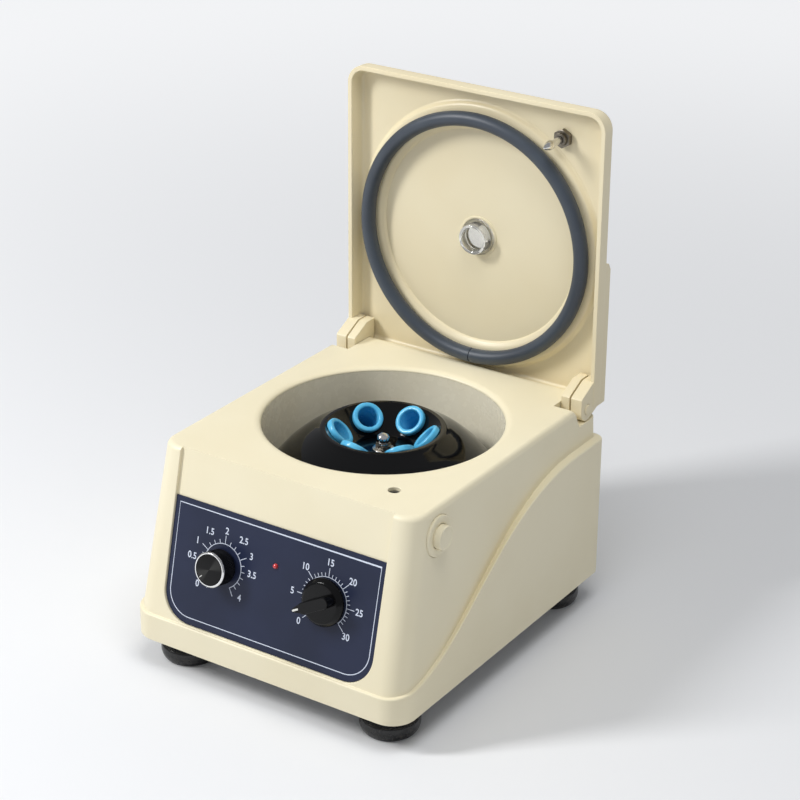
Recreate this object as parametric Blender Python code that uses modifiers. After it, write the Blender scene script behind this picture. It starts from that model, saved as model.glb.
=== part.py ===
"""Bench centrifuge with its lid open: a moulded housing, a lid on two hinges, a six-place rotor and a panel.

Metres, +Z up. The control panel looks along -Y and the release button along +X. The origin lies on the bench
under the middle of the object's box, with the lid open.
"""

import math

import bmesh
import bpy
from mathutils import Vector

# Clearances and finish
gap = 0.0003
overrun = 0.005
merge_distance = 0.000001
sharp_angle = math.radians(35)

# Housing
foot_height = 0.026
body_height = 0.163
skirt_half_width = 0.1326
skirt_depth = 0.3097
skirt_low_height = 0.022
skirt_step_height = 0.0255
skirt_below_top = 0.035
skirt_high_height = body_height - skirt_below_top
skirt_curve_start = 0.012
skirt_curve_first_handle = 0.092
skirt_curve_second_handle = 0.137
skirt_curve_end = 0.262
skirt_overhang = 0.0033
waist_half_width = skirt_half_width - skirt_overhang
side_flare = 0.0055
top_half_width = waist_half_width - side_flare
top_front_inset = 0.0356
waist_front_inset = 0.002
top_back_inset = 0.0023
slope_drop = body_height - skirt_low_height
slope_length = math.hypot(slope_drop, top_front_inset - waist_front_inset)
front_corner_radius = 0.018
back_corner_radius = 0.008
top_edge_radius = 0.005
wall = 0.003
front_wall = 0.0057
top_wall = 0.003

# Lid hinge
hinge_from_front = 0.292
hinge_drop = 0.006
hinge_pin_radius = 0.0025
hinge_pin_head_radius = 0.0045
hinge_pin_head_height = 0.0012
tab_thickness = 0.0012
tab_radius = 0.007
tab_reach_below = 0.026
ear_radius = 0.010
ear_front_reach = 0.021
ear_toe_reach = 0.0126
ear_heel_angle = math.radians(15)
ear_thickness = 0.0202
tab_inset = 0.0115

# Lid
lid_overhang = 0.0004
lid_half_width = top_half_width + lid_overhang
ear_inner_x = lid_half_width - ear_thickness
tab_centre_x = lid_half_width - tab_inset
lid_front_reach = 0.2523
lid_rear_reach = 0.0037
lid_rim_height = 0.009
lid_floor_height = 0.023
lid_top_height = 0.026
lid_side_height = 0.010
lid_front_corner = 0.016
lid_rear_corner = 0.004
lid_rim_width = 0.004
lid_rim_draft = 0.0022
lid_rear_lift = 0.0174
rail_width = 0.020
rail_reach = 0.118
rail_top_height = 0.029
rail_side_step = 0.0004

# Gasket and window
gasket_radius = 0.105
gasket_thickness = 0.0125
gasket_seat_width = 0.011
window_radius = 0.013
window_bore_radius = 0.0105
window_inner_reach = 0.0105
window_flange_radius = 0.0165
window_flange_height = 0.0015
window_lens_thickness = 0.002
window_nut_radius = 0.0155
window_nut_height = 0.002

# Latch pin on the lid
latch_inset = 0.0498
latch_x = waist_half_width - latch_inset
latch_from_front = 0.070
latch_hole_radius = 0.005
pin_radius = 0.004
pin_neck_radius = 0.003
pin_reach = 0.033
pin_bullet_length = 0.011
pin_cone_length = 0.0085
pin_tip_radius = 0.0006
pin_head_radius = 0.006
pin_head_height = 0.0015
latch_nut_flats = 0.014
latch_nut_height = 0.005
latch_collar_radius = 0.0055
latch_collar_height = 0.003

# Release button, slide and their bracket
button_from_front = 0.063
button_drop = 0.023
button_radius = 0.0098
button_stand = 0.003
button_face_x = waist_half_width + button_stand
button_length = 0.0123
button_edge = 0.0012
button_travel = 0.004
stem_radius = 0.004
collar_radius = 0.0168
collar_depth = 0.0034
collar_inset = 0.0063
collar_seat_x = waist_half_width - collar_inset
collar_wall = 0.003
slide_thickness = 0.0012
slide_drop = 0.0034
slide_half_width = 0.012
slide_margin = 0.004
slide_leg_inset = 0.026
slide_leg_x = collar_seat_x - slide_leg_inset
bracket_thickness = 0.0015
bracket_post = 0.0025
flange_inset = 0.017
flange_x = collar_seat_x - flange_inset
flange_half_width = 0.012
flange_below_stem = 0.008
spring_radius = 0.0058
spring_wire = 0.0005
spring_turns = 4
switch_length = 0.020
switch_width = 0.0065
switch_height = 0.010
switch_lever = 0.0008
switch_lever_reach = 0.006

# Chamber bowl
bowl_from_front = 0.1725
bowl_radius = 0.100
bowl_lip_radius = 0.0025
bowl_wall = 0.0025
bowl_flange = 0.008
bowl_share = 0.54
bowl_depth = bowl_share * body_height
bowl_corner = 0.007
shaft_hole_radius = 0.012
seal_lip = 0.0022
seal_lip_height = 0.0017

# Rotor, in radii and in drops below the housing's top
rotor_rim_radius = 0.0512
rotor_rim_drop = 0.008
rotor_shoulder_radius = 0.054
rotor_shoulder_drop = 0.010
rotor_cone_radius = 0.068
rotor_cone_drop = 0.018
rotor_skirt_radius = 0.082
rotor_skirt_drop = 0.030
rotor_edge_radius = 0.092
rotor_edge_drop = 0.042
rotor_flange_radius = 0.0956
rotor_flange_drop = 0.047
rotor_wall = 0.0035
rotor_floor_drop = 0.029
rotor_plate = 0.0055
rotor_hub_radius = 0.014
rotor_hub_drop = 0.058
rotor_bore_radius = 0.0063

# Tube sleeves
sleeve_count = 6
sleeve_first_angle = math.radians(25)
sleeve_tilt = math.radians(45)
sleeve_mouth_radius = 0.0339
sleeve_mouth_drop = 0.0139
sleeve_lip_radius = 0.01307
sleeve_lip_height = 0.0052
sleeve_lip_edge = 0.001
sleeve_radius = 0.0101
sleeve_bore_radius = 0.0089
sleeve_length = 0.0705
sleeve_floor = 0.002

# Drive
shaft_radius = 0.004
hub_nut_flats = 0.013
hub_nut_height = 0.0054
hub_ball_radius = 0.005
hub_ball_drop = 0.0166
hub_washer_radius = 0.009
hub_washer_height = 0.0015
motor_radius = 0.040
motor_surround = 0.0324
motor_length = body_height - bowl_depth - motor_surround
motor_boss_radius = 0.014
motor_boss_height = 0.003
motor_bore_share = 0.7
motor_bore_depth = motor_bore_share * motor_length
motor_edge = 0.002
motor_plate_radius = 0.054
motor_plate_thickness = 0.003
damper_radius = 0.007
damper_height = 0.0105
damper_circle = 0.045
damper_count = 3

# Base plate, feet and screws
plate_thickness = 0.0025
plate_recess = 0.0005
foot_radius = 0.0246
foot_neck_radius = 0.016
foot_rim_low = 0.005
foot_rim_high = 0.012
foot_shoulder = 0.020
foot_sole_radius = 0.0215
foot_well_radius = 0.0062
foot_well_depth = 0.010
foot_inset = 0.0336
foot_spacing_x = skirt_half_width - foot_inset
front_foot_from_front = 0.0365
rear_foot_from_front = 0.284
foot_screw_radius = 0.0025
foot_screw_head_radius = 0.005
foot_screw_head_height = 0.003
foot_screw_rise = 0.010
boss_radius = 0.007
boss_height = 0.018
rib_thickness = 0.003

# Control panel on the sloping front: places are across and down the slope from its top edge
recess_depth = 0.0028
recess_clearance = 0.0003
panel_inset = 0.0225
panel_half_width = top_half_width - panel_inset
panel_top = 0.0388
panel_margin = 0.00295
panel_bottom = slope_length - panel_margin
panel_corner = 0.026
panel_thickness = 0.0006
speed_across = -0.0489
speed_down = 0.0845
timer_across = 0.0511
timer_down = 0.0845
lamp_across = 0.0012
lamp_down = 0.0702
lamp_radius = 0.002
lamp_flange = 0.001
lamp_flange_height = 0.0017
lamp_stand = 0.0004
bush_radius = 0.0045
bush_reach = 0.0045
spindle_radius = 0.003
spindle_grip = 0.013
spindle_depth = 0.009
bush_nut_flats = 0.012
bush_nut_height = 0.0025
pot_radius = 0.012
pot_depth = 0.012
timer_half_width = 0.022
timer_depth = 0.032
knob_nut_room_radius = 0.0085
knob_nut_room_depth = 0.006
speed_knob_radius = 0.0144
speed_knob_base = 0.0002
speed_knob_face = 0.0162
speed_ring_width = 0.0018
speed_ring_height = 0.0019
speed_pointer_angle = math.radians(135)
timer_knob_radius = 0.0195
timer_knob_base = 0.001
timer_skirt_low = 0.003
timer_skirt_high = 0.0065
timer_skirt_top_radius = 0.0165
timer_grip_half_width = 0.0048
timer_grip_half_length = 0.0155
timer_grip_face = 0.018
timer_pointer_reach = 0.025
timer_pointer_face = 0.009
timer_pointer_tip = 0.001
timer_pointer_angle = math.radians(118)
knob_overhang = 0.003774

# Electrical pieces at the back
board_half_width = 0.050
board_half_depth = 0.025
board_thickness = 0.0016
board_x = 0.015
board_from_front = 0.262
standoff_radius = 0.003
standoff_height = 0.008
standoff_inset = 0.006
transformer_half_width = 0.018
transformer_half_depth = 0.015
transformer_height = 0.026
capacitor_radius = 0.008
capacitor_height = 0.018
capacitor_spacing = 0.022
inlet_x = -0.080
inlet_height = 0.035
inlet_half_width = 0.0138
inlet_half_height = 0.0100
inlet_flange_half_width = 0.0200
inlet_flange_half_height = 0.0140
inlet_flange_thickness = 0.003
inlet_depth = 0.020
inlet_socket_half_width = 0.0118
inlet_socket_half_height = 0.0080
inlet_socket_depth = 0.016
inlet_pin_half_width = 0.002
inlet_pin_half_height = 0.001
inlet_pin_length = 0.014
inlet_pin_spacing = 0.007
inlet_pin_offset = 0.002
fuse_x = -0.045
fuse_radius = 0.006
fuse_cap_radius = 0.008
fuse_cap_height = 0.005
fuse_depth = 0.026

# Places worked out from the sizes above
front_y = (knob_overhang - hinge_from_front - rail_top_height) / 2
back_y = front_y + skirt_depth
bottom_z = foot_height
top_z = foot_height + body_height
waist_z = top_z - slope_drop
top_front_y = front_y + top_front_inset
waist_front_y = front_y + waist_front_inset
top_back_y = back_y - top_back_inset
slope_angle = math.atan2(top_front_y - waist_front_y, slope_drop)
hinge_y = front_y + hinge_from_front
hinge_z = top_z - hinge_drop
bowl_y = front_y + bowl_from_front
latch_y = front_y + latch_from_front
button_y = front_y + button_from_front
button_z = top_z - button_drop
panel_face = panel_thickness + gap - recess_depth
wall_back = -front_wall * math.cos(slope_angle)
plate_z = bottom_z + plate_recess
plate_top = plate_z + plate_thickness
pin_tip_height = lid_floor_height - pin_reach
slot_half_width = tab_thickness / 2 + gap


for old in list(bpy.data.objects):
    bpy.data.objects.remove(old, do_unlink=True)

parts = bpy.data.collections.new("centrifuge")
cutters = bpy.data.collections.new("cutters")
bpy.context.scene.collection.children.link(parts)
bpy.context.scene.collection.children.link(cutters)


def material(name, colour, roughness, metallic=0.0, transmission=0.0):
    """A Principled material of one colour."""
    made = bpy.data.materials.new(name)
    made.use_nodes = True
    shader = made.node_tree.nodes["Principled BSDF"]
    shader.inputs["Base Color"].default_value = (*colour, 1.0)
    shader.inputs["Roughness"].default_value = roughness
    shader.inputs["Metallic"].default_value = metallic
    shader.inputs["Transmission Weight"].default_value = transmission
    made.diffuse_color = (*colour, 1.0)
    return made


def refresh(obj, mesh):
    """Welds a mesh's seams, turns its faces outward, shades round sides smooth and gives it to the object."""
    bm = bmesh.new()
    bm.from_mesh(mesh)
    bmesh.ops.remove_doubles(bm, verts=bm.verts, dist=merge_distance)
    bmesh.ops.recalc_face_normals(bm, faces=bm.faces)
    bm.to_mesh(mesh)
    bm.free()
    mesh.shade_smooth()
    mesh.set_sharp_from_angle(angle=sharp_angle)
    obj.data = mesh
    return obj


def frozen(obj):
    """The same object as a plain mesh: its modifiers or its curve are worked out once."""
    bpy.context.view_layer.update()
    graph = bpy.context.evaluated_depsgraph_get()
    mesh = bpy.data.meshes.new_from_object(obj.evaluated_get(graph), depsgraph=graph)
    if obj.type == "MESH":
        obj.modifiers.clear()
        return refresh(obj, mesh)
    name = obj.name
    matrix = obj.matrix_world.copy()
    bpy.data.objects.remove(obj, do_unlink=True)
    made = bpy.data.objects.new(name, mesh)
    parts.objects.link(made)
    made.matrix_world = matrix
    return refresh(made, mesh)


def bmesh_object(name, bm):
    mesh = bpy.data.meshes.new(name)
    bm.to_mesh(mesh)
    bm.free()
    obj = bpy.data.objects.new(name, mesh)
    parts.objects.link(obj)
    return obj


def box(name, low, high):
    """A block between two corners."""
    low = Vector(low)
    high = Vector(high)
    bm = bmesh.new()
    bmesh.ops.create_cube(bm, size=1.0)
    bmesh.ops.scale(bm, vec=high - low, verts=bm.verts)
    bmesh.ops.translate(bm, vec=(low + high) / 2, verts=bm.verts)
    return bmesh_object(name, bm)


def cylinder(name, radius, low, high, sides=24, top_radius=None):
    """An upright cylinder, prism or cone between two heights."""
    bm = bmesh.new()
    upper = radius if top_radius is None else top_radius
    bmesh.ops.create_cone(
        bm, cap_ends=True, segments=sides, radius1=radius, radius2=upper, depth=high - low
    )
    bmesh.ops.translate(bm, vec=(0, 0, (low + high) / 2), verts=bm.verts)
    obj = bmesh_object(name, bm)
    obj.data.shade_smooth()
    obj.data.set_sharp_from_angle(angle=sharp_angle)
    return obj


def turned(name, profile, steps, ring=False):
    """A turned solid. Its (radius, height) points run down the outer side; a ring's profile is closed."""
    mesh = bpy.data.meshes.new(name)
    edges = [(i, i + 1) for i in range(len(profile) - 1)]
    if ring:
        edges.append((len(profile) - 1, 0))
    mesh.from_pydata([(radius, 0, height) for radius, height in profile], edges, [])
    obj = bpy.data.objects.new(name, mesh)
    parts.objects.link(obj)
    screw = obj.modifiers.new("Turn", "SCREW")
    screw.axis = "Z"
    screw.steps = steps
    screw.render_steps = steps
    screw.use_merge_vertices = True
    screw.merge_threshold = merge_distance
    return frozen(obj)


def prism(name, outline, thickness):
    """A flat outline in X and Y, thickened evenly above and below Z = 0."""
    curve = bpy.data.curves.new(name, "CURVE")
    curve.dimensions = "2D"
    curve.fill_mode = "BOTH"
    curve.extrude = thickness / 2
    spline = curve.splines.new("POLY")
    spline.points.add(len(outline) - 1)
    for point, (x, y) in zip(spline.points, outline):
        point.co = (x, y, 0, 1)
    spline.use_cyclic_u = True
    obj = bpy.data.objects.new(name, curve)
    parts.objects.link(obj)
    return frozen(obj)


def loft(name, sections):
    """A solid through closed sections with as many points each."""
    bm = bmesh.new()
    rings = [[bm.verts.new(point) for point in section] for section in sections]
    count = len(rings[0])
    for lower, upper in zip(rings, rings[1:]):
        for i in range(count):
            j = (i + 1) % count
            bm.faces.new((lower[i], lower[j], upper[j], upper[i]))
    bm.faces.new(list(reversed(rings[0])))
    bm.faces.new(rings[-1])
    obj = bmesh_object(name, bm)
    return refresh(obj, obj.data)


def arc(centre, radius, start, end, steps):
    """Points round part of a circle, both ends included."""
    points = []
    for i in range(steps + 1):
        angle = start + (end - start) * i / steps
        points.append((centre[0] + radius * math.cos(angle), centre[1] + radius * math.sin(angle)))
    return points


def rounded(half_width, front, back, front_radius, back_radius, z, steps=5):
    """A rounded rectangle at one height, from the right front corner round."""
    quarter = math.pi / 2
    corners = (
        (half_width - front_radius, front + front_radius, front_radius, -quarter),
        (half_width - back_radius, back - back_radius, back_radius, 0),
        (back_radius - half_width, back - back_radius, back_radius, quarter),
        (front_radius - half_width, front + front_radius, front_radius, 2 * quarter),
    )
    points = []
    for x, y, radius, start in corners:
        points += [(px, py, z) for px, py in arc((x, y), radius, start, start + quarter, steps)]
    return points


def hexagon_radius(flats):
    return flats / 2 / math.cos(math.pi / 6)


def empty(name, location, rotation=(0, 0, 0), parent=None):
    obj = bpy.data.objects.new(name, None)
    parts.objects.link(obj)
    return place(obj, location, rotation, parent)


def place(obj, location=(0, 0, 0), rotation=(0, 0, 0), parent=None):
    obj.location = location
    obj.rotation_euler = rotation
    obj.parent = parent
    return obj


def combine(target, tool, operation="DIFFERENCE"):
    """Adds a Boolean to the target and puts its tool among the cutters."""
    change = target.modifiers.new(tool.name, "BOOLEAN")
    change.operation = operation
    change.solver = "EXACT"
    change.object = tool
    if tool.name not in cutters.objects:
        parts.objects.unlink(tool)
        cutters.objects.link(tool)
    tool.hide_render = True
    tool.display_type = "WIRE"


def join(target, tool):
    combine(target, tool, "UNION")


def paint(obj, finish):
    obj.data.materials.clear()
    obj.data.materials.append(finish)
    return obj


cream = material("cream_plastic", (0.84, 0.79, 0.62), 0.38)
lid_cream = material("lid_plastic", (0.80, 0.72, 0.52), 0.40)
black_plastic = material("black_plastic", (0.012, 0.012, 0.013), 0.22)
black_rubber = material("black_rubber", (0.012, 0.012, 0.012), 0.5)
sleeve_blue = material("sleeve_plastic", (0.10, 0.47, 0.78), 0.35)
gasket_grey = material("gasket_rubber", (0.09, 0.12, 0.15), 0.55)
panel_navy = material("panel_film", (0.022, 0.030, 0.062), 0.45)
bright_steel = material("bright_steel", (0.75, 0.75, 0.76), 0.18, 1.0)
zinc_steel = material("zinc_steel", (0.55, 0.55, 0.56), 0.38, 1.0)
dark_steel = material("dark_steel", (0.22, 0.21, 0.20), 0.35, 1.0)
brass = material("brass", (0.72, 0.55, 0.25), 0.32, 1.0)
clear_plastic = material("clear_plastic", (0.93, 0.93, 0.90), 0.06, 0.0, 0.9)
red_plastic = material("red_plastic", (0.55, 0.02, 0.02), 0.25)
board_green = material("board_laminate", (0.03, 0.16, 0.07), 0.5)

# The sloping front carries the panel: X across, Y up the slope, Z out of the face
panel_frame = empty("panel_frame", (0, top_front_y, top_z), (math.pi / 2 - slope_angle, 0, 0))

# The lid turns here, and its pieces are placed as they lie when it is shut
lid_frame = empty("lid_frame", (0, hinge_y, hinge_z), (-math.pi / 2, 0, 0))

# The rotor spins here, level with the housing's top
rotor_frame = empty("rotor_frame", (0, bowl_y, top_z))
speed_frame = empty("speed_frame", (speed_across, -speed_down, 0), (0, 0, speed_pointer_angle), panel_frame)
timer_frame = empty("timer_frame", (timer_across, -timer_down, 0), (0, 0, timer_pointer_angle), panel_frame)


def housing_outline(z, side_inset=0.0, front_inset=0.0, back_inset=0.0):
    """The upper housing's outline at a height. It narrows and slopes back above the waist."""
    rise = min(max((z - waist_z) / slope_drop, 0.0), 1.0)
    half_width = waist_half_width + (top_half_width - waist_half_width) * rise - side_inset
    front = waist_front_y + (top_front_y - waist_front_y) * rise + front_inset
    back = back_y - gap + (top_back_y - back_y + gap) * rise - back_inset
    front_radius = front_corner_radius - min(side_inset, front_inset)
    back_radius = back_corner_radius - min(side_inset, back_inset)
    return rounded(half_width, front, back, front_radius, back_radius, z)


def skirt_profile():
    """Points along the top of the skirt, seen from the side, from the front to the back."""
    start = Vector((front_y + skirt_curve_start, bottom_z + skirt_step_height))
    first = Vector((front_y + skirt_curve_first_handle, bottom_z + skirt_step_height))
    second = Vector((front_y + skirt_curve_second_handle, bottom_z + skirt_high_height))
    end = Vector((front_y + skirt_curve_end, bottom_z + skirt_high_height))
    points = [(front_y - overrun, bottom_z + skirt_low_height)]
    steps = 14
    for i in range(steps + 1):
        t = i / steps
        point = (
            start * (1 - t) ** 3
            + first * 3 * t * (1 - t) ** 2
            + second * 3 * t**2 * (1 - t)
            + end * t**3
        )
        points.append((point.x, point.y))
    points.append((back_y + overrun, bottom_z + skirt_high_height))
    return points


def across(name, outline, low_x, high_x):
    """A prism along X between two X values, of an outline in Y and Z."""
    made = prism(name, outline, high_x - low_x)
    return place(made, ((low_x + high_x) / 2, 0, 0), (math.pi / 2, 0, math.pi / 2))


def hinge_notch():
    """The space beside each back corner where the lid's ears hang, from the hinge axis."""
    clearance = ear_radius + 2 * gap
    top = hinge_drop + overrun
    toe = ear_toe_reach + 5 * gap
    slope = (ear_front_reach - toe) / (hinge_drop + clearance)
    return [
        (hinge_y - ear_front_reach - slope * overrun, hinge_z + top),
        (hinge_y - toe, hinge_z - clearance),
        (back_y + overrun, hinge_z - clearance),
        (back_y + overrun, hinge_z + top),
    ]


def panel_outline(half_width, top, bottom, radius):
    """The panel's shape: square above, round corners below."""
    points = [(half_width, -top), (-half_width, -top)]
    points += arc((radius - half_width, radius - bottom), radius, math.pi, 1.5 * math.pi, 7)
    points += arc((half_width - radius, radius - bottom), radius, 1.5 * math.pi, 2 * math.pi, 7)
    return points


def seat(tool, x, down, turn=0.0):
    """Puts a tool made about local Z square to the sloping front."""
    return place(tool, (x, -down, 0), (0, 0, turn), panel_frame)


def build_body_shell():
    heights = [bottom_z, waist_z]
    sections = [housing_outline(z) for z in heights]
    rim_z = top_z - top_edge_radius
    steps = 4
    for i in range(steps + 1):
        angle = math.pi / 2 * i / steps
        inset = top_edge_radius * (1 - math.cos(angle))
        outline = housing_outline(rim_z, inset, inset, inset)
        sections.append([(x, y, rim_z + top_edge_radius * math.sin(angle)) for x, y, z in outline])
    shell = loft("body_shell", sections)

    skirt_sections = [
        rounded(skirt_half_width, front_y, back_y, front_corner_radius + wall, back_corner_radius, z)
        for z in (bottom_z, bottom_z + skirt_high_height + overrun)
    ]
    skirt = loft("skirt", skirt_sections)
    profile = skirt_profile()
    above = top_z + overrun
    outline = profile + [(back_y + overrun, above), (front_y - overrun, above)]
    combine(skirt, across("above_skirt", outline, -skirt_half_width - overrun, skirt_half_width + overrun))
    join(shell, skirt)

    low = housing_outline(bottom_z, wall, front_wall, wall)
    lofted = [
        [(x, y, bottom_z - overrun) for x, y, z in low],
        housing_outline(waist_z, wall, front_wall, wall),
        housing_outline(top_z - top_wall, wall, front_wall, wall),
    ]
    lofted[2] = [(x, y, top_z - top_wall) for x, y, z in lofted[2]]
    cavity = loft("cavity", lofted)
    pocket_x = ear_inner_x - 2 * gap
    notch = hinge_notch()
    for side, name in ((-1, "left"), (1, "right")):
        inner = pocket_x - wall
        outer = skirt_half_width
        corner = (
            (min(side * inner, side * outer), notch[1][0] - wall - hinge_drop, notch[1][1] - wall),
            (max(side * inner, side * outer), back_y + overrun, top_z + overrun),
        )
        combine(cavity, box("pocket_" + name, *corner))
        for end, depth in (("front", front_foot_from_front), ("rear", rear_foot_from_front)):
            boss_top = plate_top + boss_height
            label = end + "_" + name
            boss = cylinder("boss_" + label, boss_radius, plate_top + gap, boss_top, 16)
            foot_x = side * foot_spacing_x
            combine(cavity, place(boss, (foot_x, front_y + depth, 0)))
            rib_y = front_y + depth
            rib_low = (min(foot_x, side * skirt_half_width), rib_y - rib_thickness / 2, plate_top + gap)
            rib_high = (max(foot_x, side * skirt_half_width), rib_y + rib_thickness / 2, boss_top - gap)
            combine(cavity, box("rib_" + label, rib_low, rib_high))
    button_pad = cylinder("button_pad", collar_radius + wall, 0, skirt_half_width)
    pad_x = collar_seat_x - collar_wall
    combine(cavity, place(button_pad, (pad_x, button_y, button_z), (0, math.pi / 2, 0)))
    combine(shell, cavity)

    for side, name in ((-1, "left"), (1, "right")):
        low_x = min(side * pocket_x, side * (skirt_half_width + overrun))
        high_x = max(side * pocket_x, side * (skirt_half_width + overrun))
        combine(shell, across("notch_" + name, notch, low_x, high_x))
        slit = box(
            "tab_slit_" + name,
            (-slot_half_width, -tab_radius - gap, -tab_reach_below - overrun),
            (slot_half_width, tab_radius + gap, 0),
        )
        combine(shell, place(slit, (side * tab_centre_x, hinge_y, hinge_z)))
        for end, depth in (("front", front_foot_from_front), ("rear", rear_foot_from_front)):
            pilot_top = plate_top + foot_screw_rise + gap
            pilot = cylinder("pilot_" + end + "_" + name, foot_screw_radius + gap, 0, pilot_top, 16)
            combine(shell, place(pilot, (side * foot_spacing_x, front_y + depth, 0)))

    lip = [
        (bowl_radius + bowl_lip_radius + overrun, overrun),
        (bowl_radius + bowl_lip_radius, 0),
    ]
    centre = (bowl_radius + bowl_lip_radius, -bowl_lip_radius)
    lip += arc(centre, bowl_lip_radius, math.pi / 2, math.pi, 3)[1:]
    lip += [(bowl_radius, -top_wall - overrun)]
    mouth = turned("bowl_mouth", [(0, overrun)] + lip + [(0, -top_wall - overrun)], 48)
    combine(shell, place(mouth, (0, bowl_y, top_z)))

    latch_hole = cylinder("latch_hole", latch_hole_radius, -top_wall - overrun, overrun)
    combine(shell, place(latch_hole, (latch_x, latch_y, top_z)))

    recess_half = panel_half_width + recess_clearance
    recess_shape = panel_outline(recess_half, -overrun, panel_bottom + recess_clearance, panel_corner)
    recess = prism("panel_recess", recess_shape, 2 * recess_depth)
    combine(shell, seat(recess, 0, 0))
    for name, x, down, radius in (
        ("speed", speed_across, speed_down, bush_radius),
        ("timer", timer_across, timer_down, bush_radius),
        ("lamp", lamp_across, lamp_down, lamp_radius),
    ):
        hole = cylinder(name + "_hole", radius + gap, wall_back - overrun, overrun)
        combine(shell, seat(hole, x, down))

    seat_bore = cylinder("collar_seat", collar_radius + gap, 0, overrun)
    combine(shell, place(seat_bore, (collar_seat_x, button_y, button_z), (0, math.pi / 2, 0)))
    button_bore = cylinder("button_bore", button_radius + gap, -2 * overrun, overrun)
    combine(shell, place(button_bore, (collar_seat_x, button_y, button_z), (0, math.pi / 2, 0)))

    inlet_low = (-inlet_half_width - gap, -wall - 2 * overrun, -inlet_half_height - gap)
    inlet_high = (inlet_half_width + gap, overrun, inlet_half_height + gap)
    inlet_hole = box("inlet_hole", inlet_low, inlet_high)
    combine(shell, place(inlet_hole, (inlet_x, back_y, bottom_z + inlet_height)))
    fuse_hole = cylinder("fuse_hole", fuse_radius + gap, -overrun, 3 * overrun)
    combine(shell, place(fuse_hole, (fuse_x, back_y, bottom_z + inlet_height), (math.pi / 2, 0, 0)))
    return paint(shell, cream)


def build_base():
    clearance = wall + gap
    outline = housing_outline(plate_z, clearance, front_wall + gap, clearance)
    sections = [[(x, y, z) for x, y, unused in outline] for z in (plate_z, plate_top)]
    plate = loft("base_plate", sections)
    for i, (sx, sy) in enumerate(((-1, -1), (1, -1), (-1, 1), (1, 1))):
        post_low = plate_z + plate_thickness / 2
        post = cylinder("standoff_%d" % i, standoff_radius, post_low, plate_top + standoff_height, 12)
        x = board_x + sx * (board_half_width - standoff_inset)
        y = front_y + board_from_front + sy * (board_half_depth - standoff_inset)
        join(plate, place(post, (x, y, 0)))
    for side, name in ((-1, "left"), (1, "right")):
        for end, depth in (("front", front_foot_from_front), ("rear", rear_foot_from_front)):
            spot = (side * foot_spacing_x, front_y + depth, 0)
            label = end + "_" + name
            hole = cylinder("foot_hole_" + label, foot_screw_radius + gap, 0, plate_top + overrun, 16)
            combine(plate, place(hole, spot))
            build_foot(label, spot)
    return paint(plate, zinc_steel)


def build_foot(label, spot):
    top = plate_z - gap
    profile = [
        (foot_screw_radius + gap, top),
        (foot_neck_radius, top),
        (foot_neck_radius, foot_shoulder),
        (foot_radius, foot_rim_high),
        (foot_radius, foot_rim_low),
        (foot_sole_radius, 0),
        (foot_well_radius, 0),
        (foot_well_radius, foot_well_depth),
        (foot_screw_radius + gap, foot_well_depth),
    ]
    foot = turned("foot_" + label, profile, 22, ring=True)
    paint(place(foot, spot), black_rubber)
    head_top = foot_well_depth - gap
    head_low = head_top - foot_screw_head_height
    screw_profile = [
        (0, plate_top + foot_screw_rise),
        (foot_screw_radius, plate_top + foot_screw_rise),
        (foot_screw_radius, head_top),
        (foot_screw_head_radius, head_top),
        (foot_screw_head_radius, head_low),
        (0, head_low),
    ]
    screw = turned("foot_screw_" + label, screw_profile, 10)
    paint(place(screw, spot), zinc_steel)


def build_bowl():
    under = -top_wall - gap
    outer = bowl_radius + bowl_wall
    floor = -bowl_depth
    profile = [
        (bowl_radius, under),
        (bowl_radius + bowl_flange, under),
        (bowl_radius + bowl_flange, under - bowl_wall),
        (outer, under - bowl_wall),
        (outer, floor + bowl_corner - bowl_wall),
        (outer - bowl_corner, floor - bowl_wall),
        (shaft_hole_radius, floor - bowl_wall),
        (shaft_hole_radius, floor),
        (bowl_radius - bowl_corner, floor),
        (bowl_radius, floor + bowl_corner),
    ]
    bowl = turned("chamber_bowl", profile, 48, ring=True)
    paint(place(bowl, (0, bowl_y, top_z)), cream)
    lip_radius = shaft_hole_radius + seal_lip
    neck = shaft_hole_radius - gap
    inner = shaft_radius + 2 * gap
    seal_profile = [
        (inner, floor + gap + seal_lip_height),
        (lip_radius, floor + gap + seal_lip_height),
        (lip_radius, floor + gap),
        (neck, floor + gap),
        (neck, floor - bowl_wall - gap),
        (lip_radius, floor - bowl_wall - gap),
        (lip_radius, floor - bowl_wall - gap - seal_lip_height),
        (inner, floor - bowl_wall - gap - seal_lip_height),
    ]
    seal = turned("shaft_seal", seal_profile, 16, ring=True)
    paint(place(seal, (0, bowl_y, top_z)), black_rubber)


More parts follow.
